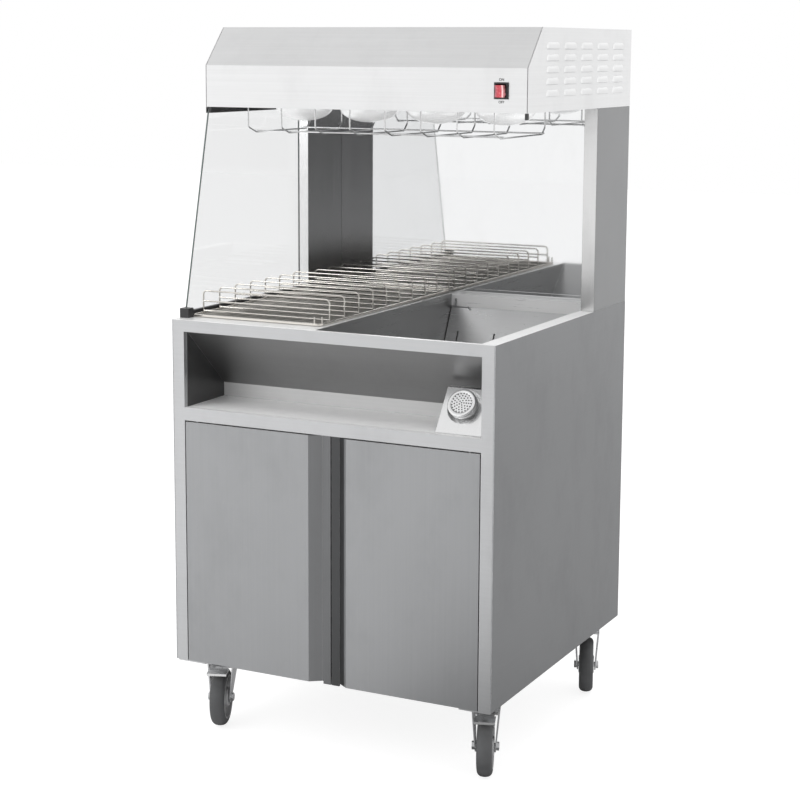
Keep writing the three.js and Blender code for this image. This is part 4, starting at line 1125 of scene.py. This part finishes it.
class STATION_OT_lamp_guard(bpy.types.Operator):
    """Bends the eight U wires of the lamp guard and lays its two long rods"""
    bl_idname = "station.lamp_guard"
    bl_label = "Lamp guard"
    wires = 8
    end_gap = 0.006
    front_slope = (0.033, 0.012)
    rear_slope = (0.016, 0.015)
    rod_places = (0.0355, 0.0185)
    rod_rise = 0.0025

    def execute(self, context):
        """Each U runs down, in along the front slope, level, up along the rear slope, and up
        again. A slope is (how far along, how far up)."""
        size = sizes()
        wire = size.guard_wire
        low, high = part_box("lamp_guard")
        front, back = low[1] + wire / 2, high[1] - wire / 2
        level, top = low[2] + wire / 2, high[2]
        parts = []
        for x in np.linspace(low[0] + self.end_gap, high[0] - self.end_gap, self.wires):
            path = bent_path([
                [x, front, top], [x, front, level + self.front_slope[1]],
                [x, front + self.front_slope[0], level], [x, back - self.rear_slope[0], level],
                [x, back, level + self.rear_slope[1]], [x, back, top],
            ], size.guard_bend)
            parts.append((wire_mesh(path, RIGHTWARD, wire), 0))
        rod_level = level + self.rod_rise
        for y in (front + self.rod_places[0], back - self.rod_places[1]):
            path = [[low[0], y, rod_level], [high[0], y, rod_level]]
            parts.append((wire_mesh(path, BACKWARD, wire), 0))
        make_piece("lamp_guard_wires", parts, [bright_finish()], "cabinet", ["lamp_guard"])
        return {"FINISHED"}


class STATION_OT_heat_lamps(bpy.types.Operator):
    """Turns the four reflector lamps: frosted face, silvered back and screw cap"""
    bl_idname = "station.heat_lamps"
    bl_label = "Heat lamps"
    face_start = 0.02
    face_steps = 14
    crown_share = 0.165
    neck_shares = ((0.99, 0.20), (0.96, 0.24), (0.90, 0.29), (0.80, 0.36), (0.66, 0.44),
                   (0.52, 0.53), (0.41, 0.60), (0.34, 0.68), (0.29, 0.75), (0.25, 0.82))
    thread_shares = (0.85, 0.96, 0.009)
    thread_radius_shares = (0.207, 0.009)
    cap_end_shares = ((0.20, 0.965), (0.12, 0.985), (0.06, 0.99), (0.055, 1.0), (0.005, 1.0))

    def execute(self, context):
        """Profiles in shares of a lamp's radius and length: the face is (sin a, crown * (1 -
        cos a)), and the thread's radius goes in and out from one ring to the next."""
        silver, cap = reflector_finish(), lamp_cap_finish()
        angle = np.linspace(self.face_start, math.pi / 2, self.face_steps)
        face = np.column_stack([np.sin(angle), self.crown_share * (1 - np.cos(angle))])
        turns = np.arange(*self.thread_shares)
        root, depth = self.thread_radius_shares
        thread = np.column_stack([root + depth * (np.arange(len(turns)) % 2), turns])
        profiles = (face, np.concatenate([face[-1:], self.neck_shares]),
                    np.concatenate([thread, self.cap_end_shares]))
        for number, node in enumerate(numbered("heat_lamp"), 1):
            low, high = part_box(node)
            scale = np.array([(high[0] - low[0]) / 2, high[2] - low[2]])
            centre = [middle(low[0], high[0]), middle(low[1], high[1]), low[2]]
            parts = [(turned_mesh(profile * scale, centre, UP), slot)
                     for slot, profile in enumerate(profiles)]
            make_piece(f"lamp_{number}", parts, [lamp_face(), silver, cap], "cabinet", [node])
        return {"FINISHED"}


class STATION_OT_shaker(bpy.types.Operator):
    """Turns the shaker's cup and its lid, and sets the rings of holes, discs of painted shade, in
    the lid
    """
    bl_idname = "station.shaker"
    bl_label = "Shaker"
    wall = 0.0014
    foot = 0.002
    foot_edge = 0.0006
    recess = 0.0012
    lid_top = 0.0035
    skirt = 0.0017
    rim = 0.003
    groove = ((0.0, 0.006), (0.0004, 0.0066), (0.0004, 0.0074), (0.0, 0.008))
    recess_edge = ((0.007, 0.0), (0.0078, 0.0004), (0.0084, recess))
    rings = 5
    ring_holes = 5
    ring_pitch = 0.0051
    hole_radius = 0.0014
    hole_cap = 0.0002
    hole_sink = 0.0003
    hole_rise = 0.00008
    hole_sides = 12

    def execute(self, context):
        axis = np.array(JOINTS["shaker_out"]["axis"], float)
        bright = plain_finish()
        self.cup(axis, bright)
        self.lid(axis, bright)
        return {"FINISHED"}

    def cup(self, axis, bright):
        """A straight wall on a foot with a broken edge."""
        centre, radius, half = turned_place("shaker_body", axis)
        profile = [
            [CAP_RADIUS, -half], [radius - self.foot, -half],
            [radius - self.foot_edge, -half + self.foot_edge], [radius, -half + self.foot],
            [radius, half], [radius - self.wall, half],
            [radius - self.wall, -half + self.wall], [CAP_RADIUS, -half + self.wall],
        ]
        make_piece("shaker_cup", [(turned_mesh(profile, centre, axis), 0)], [bright], "shaker",
                   ["shaker_body"])

    def lid(self, axis, bright):
        """A skirt with a groove, a round rim and a sunk face. The holes are discs of painted shade
        let into
        the face: one in the middle, and in each ring ring_holes more than in the last."""
        centre, radius, half = turned_place("shaker_lid", axis)
        face, under = half - self.recess, half - self.lid_top
        inner = radius - self.skirt
        rim = np.column_stack([radius - self.rim + self.rim * np.cos(QUARTER_TURN),
                               half - self.rim + self.rim * np.sin(QUARTER_TURN)])
        profile = np.concatenate([
            [[CAP_RADIUS, under], [inner, under], [inner, -half], [radius, -half]],
            [[radius - depth, -half + rise] for depth, rise in self.groove],
            rim,
            [[radius - inward, half - down] for inward, down in self.recess_edge],
            [[CAP_RADIUS, face]],
        ])
        parts = [(turned_mesh(profile, centre, axis), 0)]
        side = np.array(RIGHTWARD)
        other = np.cross(axis, side)
        hole = [[self.hole_radius, -self.hole_sink], [self.hole_radius, self.hole_rise],
                [self.hole_cap, self.hole_rise]]
        for ring in range(self.rings):
            for turn in whole_turn(max(ring * self.ring_holes, 1)):
                away = np.cos(turn) * side + np.sin(turn) * other
                spot = centre + face * axis + ring * self.ring_pitch * away
                parts.append((turned_mesh(hole, spot, axis, sides=self.hole_sides), 1))
        make_piece("shaker_lid_drilled", parts, [bright, hole_shade_finish()], "shaker_cap",
                   ["shaker_lid"])


class STATION_OT_castors(bpy.types.Operator):
    """Turns the castor tyres and wheel centres, and plates the forks, plates and pedals"""
    bl_idname = "station.castors"
    bl_label = "Castors"
    tyre_half = 0.016
    tyre_depth = 0.015
    shoulder = 0.012
    shoulder_share = 0.97
    crown_share = 0.1
    crown_steps = 6
    bore = 0.0064
    hub = 0.020
    hub_half = 0.0176
    hub_edge = 0.001
    hub_foot = (0.004, 0.002)
    web = 0.005
    rim_foot = 0.008
    rim_bend = (0.004, 0.003)
    rim_wall = 0.003

    def execute(self, context):
        zinc = zinc_finish()
        tyre, core = tyre_finish(), wheel_centre_finish()
        for corner in CORNERS:
            dress([f"castor_plate_{corner}", f"castor_fork_{corner}"], zinc)
            if f"brake_pedal_{corner}" in NODES:
                dress([f"brake_pedal_{corner}"], bright_finish())
            self.wheel(corner, tyre, core)
        return {"FINISHED"}

    def wheel(self, corner, tyre, core):
        """Tyre: a crowned tread, radius less a share of the square of the way from its middle,
        with round shoulders. Centre: rim, dished web and hub, the same on both sides."""
        node = f"castor_wheel_{corner}"
        spin = JOINTS[f"spin_{corner}"]
        centre, axis = np.array(spin["pos_m"]), np.array(spin["axis"])
        low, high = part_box(node)
        radius = (high[2] - low[2]) / 2
        half, rim, shoulder = self.tyre_half, radius - self.tyre_depth, self.shoulder
        lower = np.column_stack([
            radius - shoulder + shoulder * np.sin(QUARTER_TURN) * self.shoulder_share,
            -half + shoulder - shoulder * np.cos(QUARTER_TURN)])
        lower = np.concatenate([[[rim, -half]], lower])
        at = np.linspace(-half + shoulder, half - shoulder, self.crown_steps + 1)[1:-1]
        crown = np.column_stack([radius - self.crown_share * shoulder * (at / half) ** 2, at])
        tread = np.concatenate([lower, crown, lower[::-1] * [1, -1]])
        hub, edge, web = self.hub, self.hub_edge, self.web
        lower = np.array([
            [self.bore, -self.hub_half], [hub - edge, -self.hub_half],
            [hub, -self.hub_half + edge], [hub + edge, -web - self.hub_foot[1]],
            [hub + self.hub_foot[0], -web], [rim - self.rim_foot, -web],
            [rim - self.rim_bend[0], -web - self.rim_bend[1]], [rim - self.rim_wall, -half],
            [rim, -half]])
        inside = np.concatenate([lower, lower[::-1] * [1, -1]])
        parts = [(turned_mesh(tread, centre, axis, closed=True), 0),
                 (turned_mesh(inside, centre, axis, closed=True), 1)]
        make_piece(f"wheel_{corner}", parts, [tyre, core], f"wheel_{corner}", [node])


class STATION_OT_switch_marks(bpy.types.Operator):
    """Prints the small ON and OFF marks above and below the rocker"""
    bl_idname = "station.switch_marks"
    bl_label = "Switch marks"
    letter = 0.007
    gap_above = 0.003
    drop_below = 0.008
    boldness = 0.00015
    thickness = 0.00005
    stand_out = 0.0001

    def execute(self, context):
        ink = mark_finish()
        low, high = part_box("switch_body")
        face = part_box("canopy_shell")[0][1] - self.stand_out
        x = middle(low[0], high[0])
        for word, z in (("ON", high[2] + self.gap_above), ("OFF", low[2] - self.drop_below)):
            name = word.lower()
            curve = bpy.data.curves.new(f"mark_{name}", "FONT")
            curve.body = word
            curve.size = self.letter
            curve.align_x = "CENTER"
            curve.offset = self.boldness
            curve.extrude = self.thickness
            text = bpy.data.objects.new(f"mark_{name}_text", curve)
            context.scene.collection.objects.link(text)
            depsgraph = context.evaluated_depsgraph_get()
            mesh = bpy.data.meshes.new_from_object(text.evaluated_get(depsgraph))
            bpy.data.objects.remove(text)
            place = Matrix.Translation((x, face, z))
            mesh.transform(place @ Matrix.Rotation(math.pi / 2, 4, "X"))
            mesh.materials.clear()
            mesh.materials.append(ink)
            mark = bpy.data.objects.new(f"switch_mark_{name}", mesh)
            context.scene.collection.objects.link(mark)
            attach(mark, "cabinet")
        return {"FINISHED"}


class STATION_OT_stage(bpy.types.Operator):
    """Lays the floor, hangs the soft lights and sets the camera"""
    bl_idname = "station.stage"
    bl_label = "Stage"

    def execute(self, context):
        stage = context.scene.station_stage
        context.scene.view_settings.view_transform = "Standard"
        self.floor(stage)
        self.world(stage)
        self.soft_light("front softbox", place=(-1.8, -3.4, 2.6), aim=(0.0, 0.0, 0.9), size=2.6,
                        power=stage.front_power)
        self.soft_light("top softbox", place=(0.2, -0.6, 3.6), aim=(0.0, 0.0, 1.0), size=2.4,
                        power=stage.top_power)
        self.camera(context.scene, stage)
        return {"FINISHED"}

    def floor(self, stage):
        """A pale floor that gives off light where it is looked at, so its shadows stay light.
        In gloss it is greyer, most of all on the side that the camera stands on."""
        half = stage.floor_size / 2
        mesh = bpy.data.meshes.new("studio_floor")
        corners = [(-half, -half, 0), (half, -half, 0), (half, half, 0), (-half, half, 0)]
        mesh.from_pydata(corners, [], [(0, 1, 2, 3)])
        material, graph, shader = empty_material("studio floor")
        place = graph.place()
        near = graph.remap(graph.part(place, "Y"), (-0.5, 0.6),
                           (stage.floor_front, stage.floor_back))
        distance = graph.vectors("LENGTH", place)
        tone = graph.remap(distance, (0.6, 4.0), (near, stage.floor_far))
        tone = graph.maths("ADD", tone, graph.remap(distance, (4.0, 7.5), (0.0, 0.25)))
        toward = graph.vectors("DOT_PRODUCT", graph.vectors("NORMALIZE", place), DARK_SIDE)
        tone = graph.maths("MULTIPLY", tone, graph.remap(toward, (0.80, 0.95), (1.0, 0.35)))
        pale = toned(colours().floor)
        seen = graph.add("ShaderNodeLightPath").outputs["Is Camera Ray"]
        cloud = graph.noise(place, scale=1.5, detail=3.0)
        plain = graph.mixed(cloud, pale, toned(pale, 0.985))
        plain = graph.mixed(seen, plain, toned(pale, 0.3))
        graph.feed(shader, Roughness=0.75, Emission_Color=WHITE,
                   Base_Color=graph.mixed(self.reflected(graph), plain, graph.grey(tone)),
                   Emission_Strength=graph.maths("MULTIPLY", seen, stage.floor_shine))
        mesh.materials.append(material)
        floor = bpy.data.objects.new("studio_floor", mesh)
        bpy.context.scene.collection.objects.link(floor)

    def reflected(self, graph):
        """One for light that was last reflected in gloss, nought for light through glass."""
        path = graph.add("ShaderNodeLightPath").outputs
        return graph.maths("SUBTRACT", path["Is Glossy Ray"], path["Is Transmission Ray"],
                           clamp=True)

    def world(self, stage):
        """White all round. In gloss it is a little greyer overhead and dark on the side that
        the camera stands on, as a studio is."""
        world = bpy.data.worlds.new("studio")
        world.use_nodes = True
        graph = Graph(world.node_tree)
        direction = graph.add("ShaderNodeTexCoord").outputs["Generated"]
        toward = graph.vectors("DOT_PRODUCT", direction, DARK_SIDE)
        dark = graph.remap(toward, (0.70, 0.93), (1.0, stage.dark_side))
        overhead = graph.remap(graph.part(direction, "Z"), (0.25, 0.95), (1.05, stage.overhead))
        gloss = graph.maths("MULTIPLY", dark, overhead)
        strength = graph.blended(self.reflected(graph), 1.0, gloss)
        diffuse = graph.add("ShaderNodeLightPath").outputs["Is Diffuse Ray"]
        graph.feed(world.node_tree.nodes["Background"], Color=WHITE,
                   Strength=graph.blended(diffuse, strength, stage.room_light))
        bpy.context.scene.world = world

    def soft_light(self, name, place, aim, size, power):
        light = bpy.data.lights.new(name, "AREA")
        light.shape = "SQUARE"
        light.size = size
        light.energy = power
        lamp = bpy.data.objects.new(name, light)
        lamp.location = place
        lamp.rotation_euler = (Vector(aim) - Vector(place)).to_track_quat("-Z", "Y").to_euler()
        lamp.visible_glossy = False
        bpy.context.scene.collection.objects.link(lamp)

    def camera(self, scene, stage):
        camera = bpy.data.cameras.new("camera")
        camera.sensor_fit = "HORIZONTAL"
        camera.sensor_width = 36.0
        camera.lens = stage.lens
        camera.shift_y = stage.shift
        camera.clip_end = 100.0
        eye = bpy.data.objects.new("camera", camera)
        turn = (Matrix.Rotation(stage.turn, 4, "Z")
                @ Matrix.Rotation(math.pi / 2 - stage.tilt, 4, "X")
                @ Matrix.Rotation(stage.roll, 4, "Z"))
        eye.matrix_world = Matrix.Translation(stage.eye) @ turn
        scene.collection.objects.link(eye)
        scene.camera = eye


class STATION_PT_pieces(bpy.types.Panel):
    """Lists the station's operators"""
    bl_idname = "STATION_PT_pieces"
    bl_label = "Dump station"
    bl_space_type = "VIEW_3D"
    bl_region_type = "UI"
    bl_category = "Station"

    def draw(self, context):
        for operator in OPERATORS:
            self.layout.operator(operator.bl_idname)


OPERATORS = (
    STATION_OT_stage,
    STATION_OT_sheet_metal,
    STATION_OT_louvred_sides,
    STATION_OT_channels,
    STATION_OT_side_glass,
    STATION_OT_wire_rack,
    STATION_OT_lamp_guard,
    STATION_OT_heat_lamps,
    STATION_OT_shaker,
    STATION_OT_castors,
    STATION_OT_switch_marks,
)
GROUPS = (
    (StationSizes, "station_sizes"),
    (StationColours, "station_colours"),
    (StationStage, "station_stage"),
)


def register():
    for group, name in GROUPS:
        bpy.utils.register_class(group)
        setattr(bpy.types.Scene, name, bpy.props.PointerProperty(type=group))
    for operator in (*OPERATORS, STATION_PT_pieces):
        bpy.utils.register_class(operator)


def unregister():
    for operator in (STATION_PT_pieces, *reversed(OPERATORS)):
        bpy.utils.unregister_class(operator)
    for group, name in reversed(GROUPS):
        delattr(bpy.types.Scene, name)
        bpy.utils.unregister_class(group)


def main():
    register()
    bpy.ops.station.stage()
    bpy.ops.station.sheet_metal()
    bpy.ops.station.louvred_sides()
    bpy.ops.station.channels()
    bpy.ops.station.side_glass()
    bpy.ops.station.wire_rack()
    bpy.ops.station.lamp_guard()
    bpy.ops.station.heat_lamps()
    bpy.ops.station.shaker()
    bpy.ops.station.castors()
    bpy.ops.station.switch_marks()


if __name__ == "__main__":
    main()
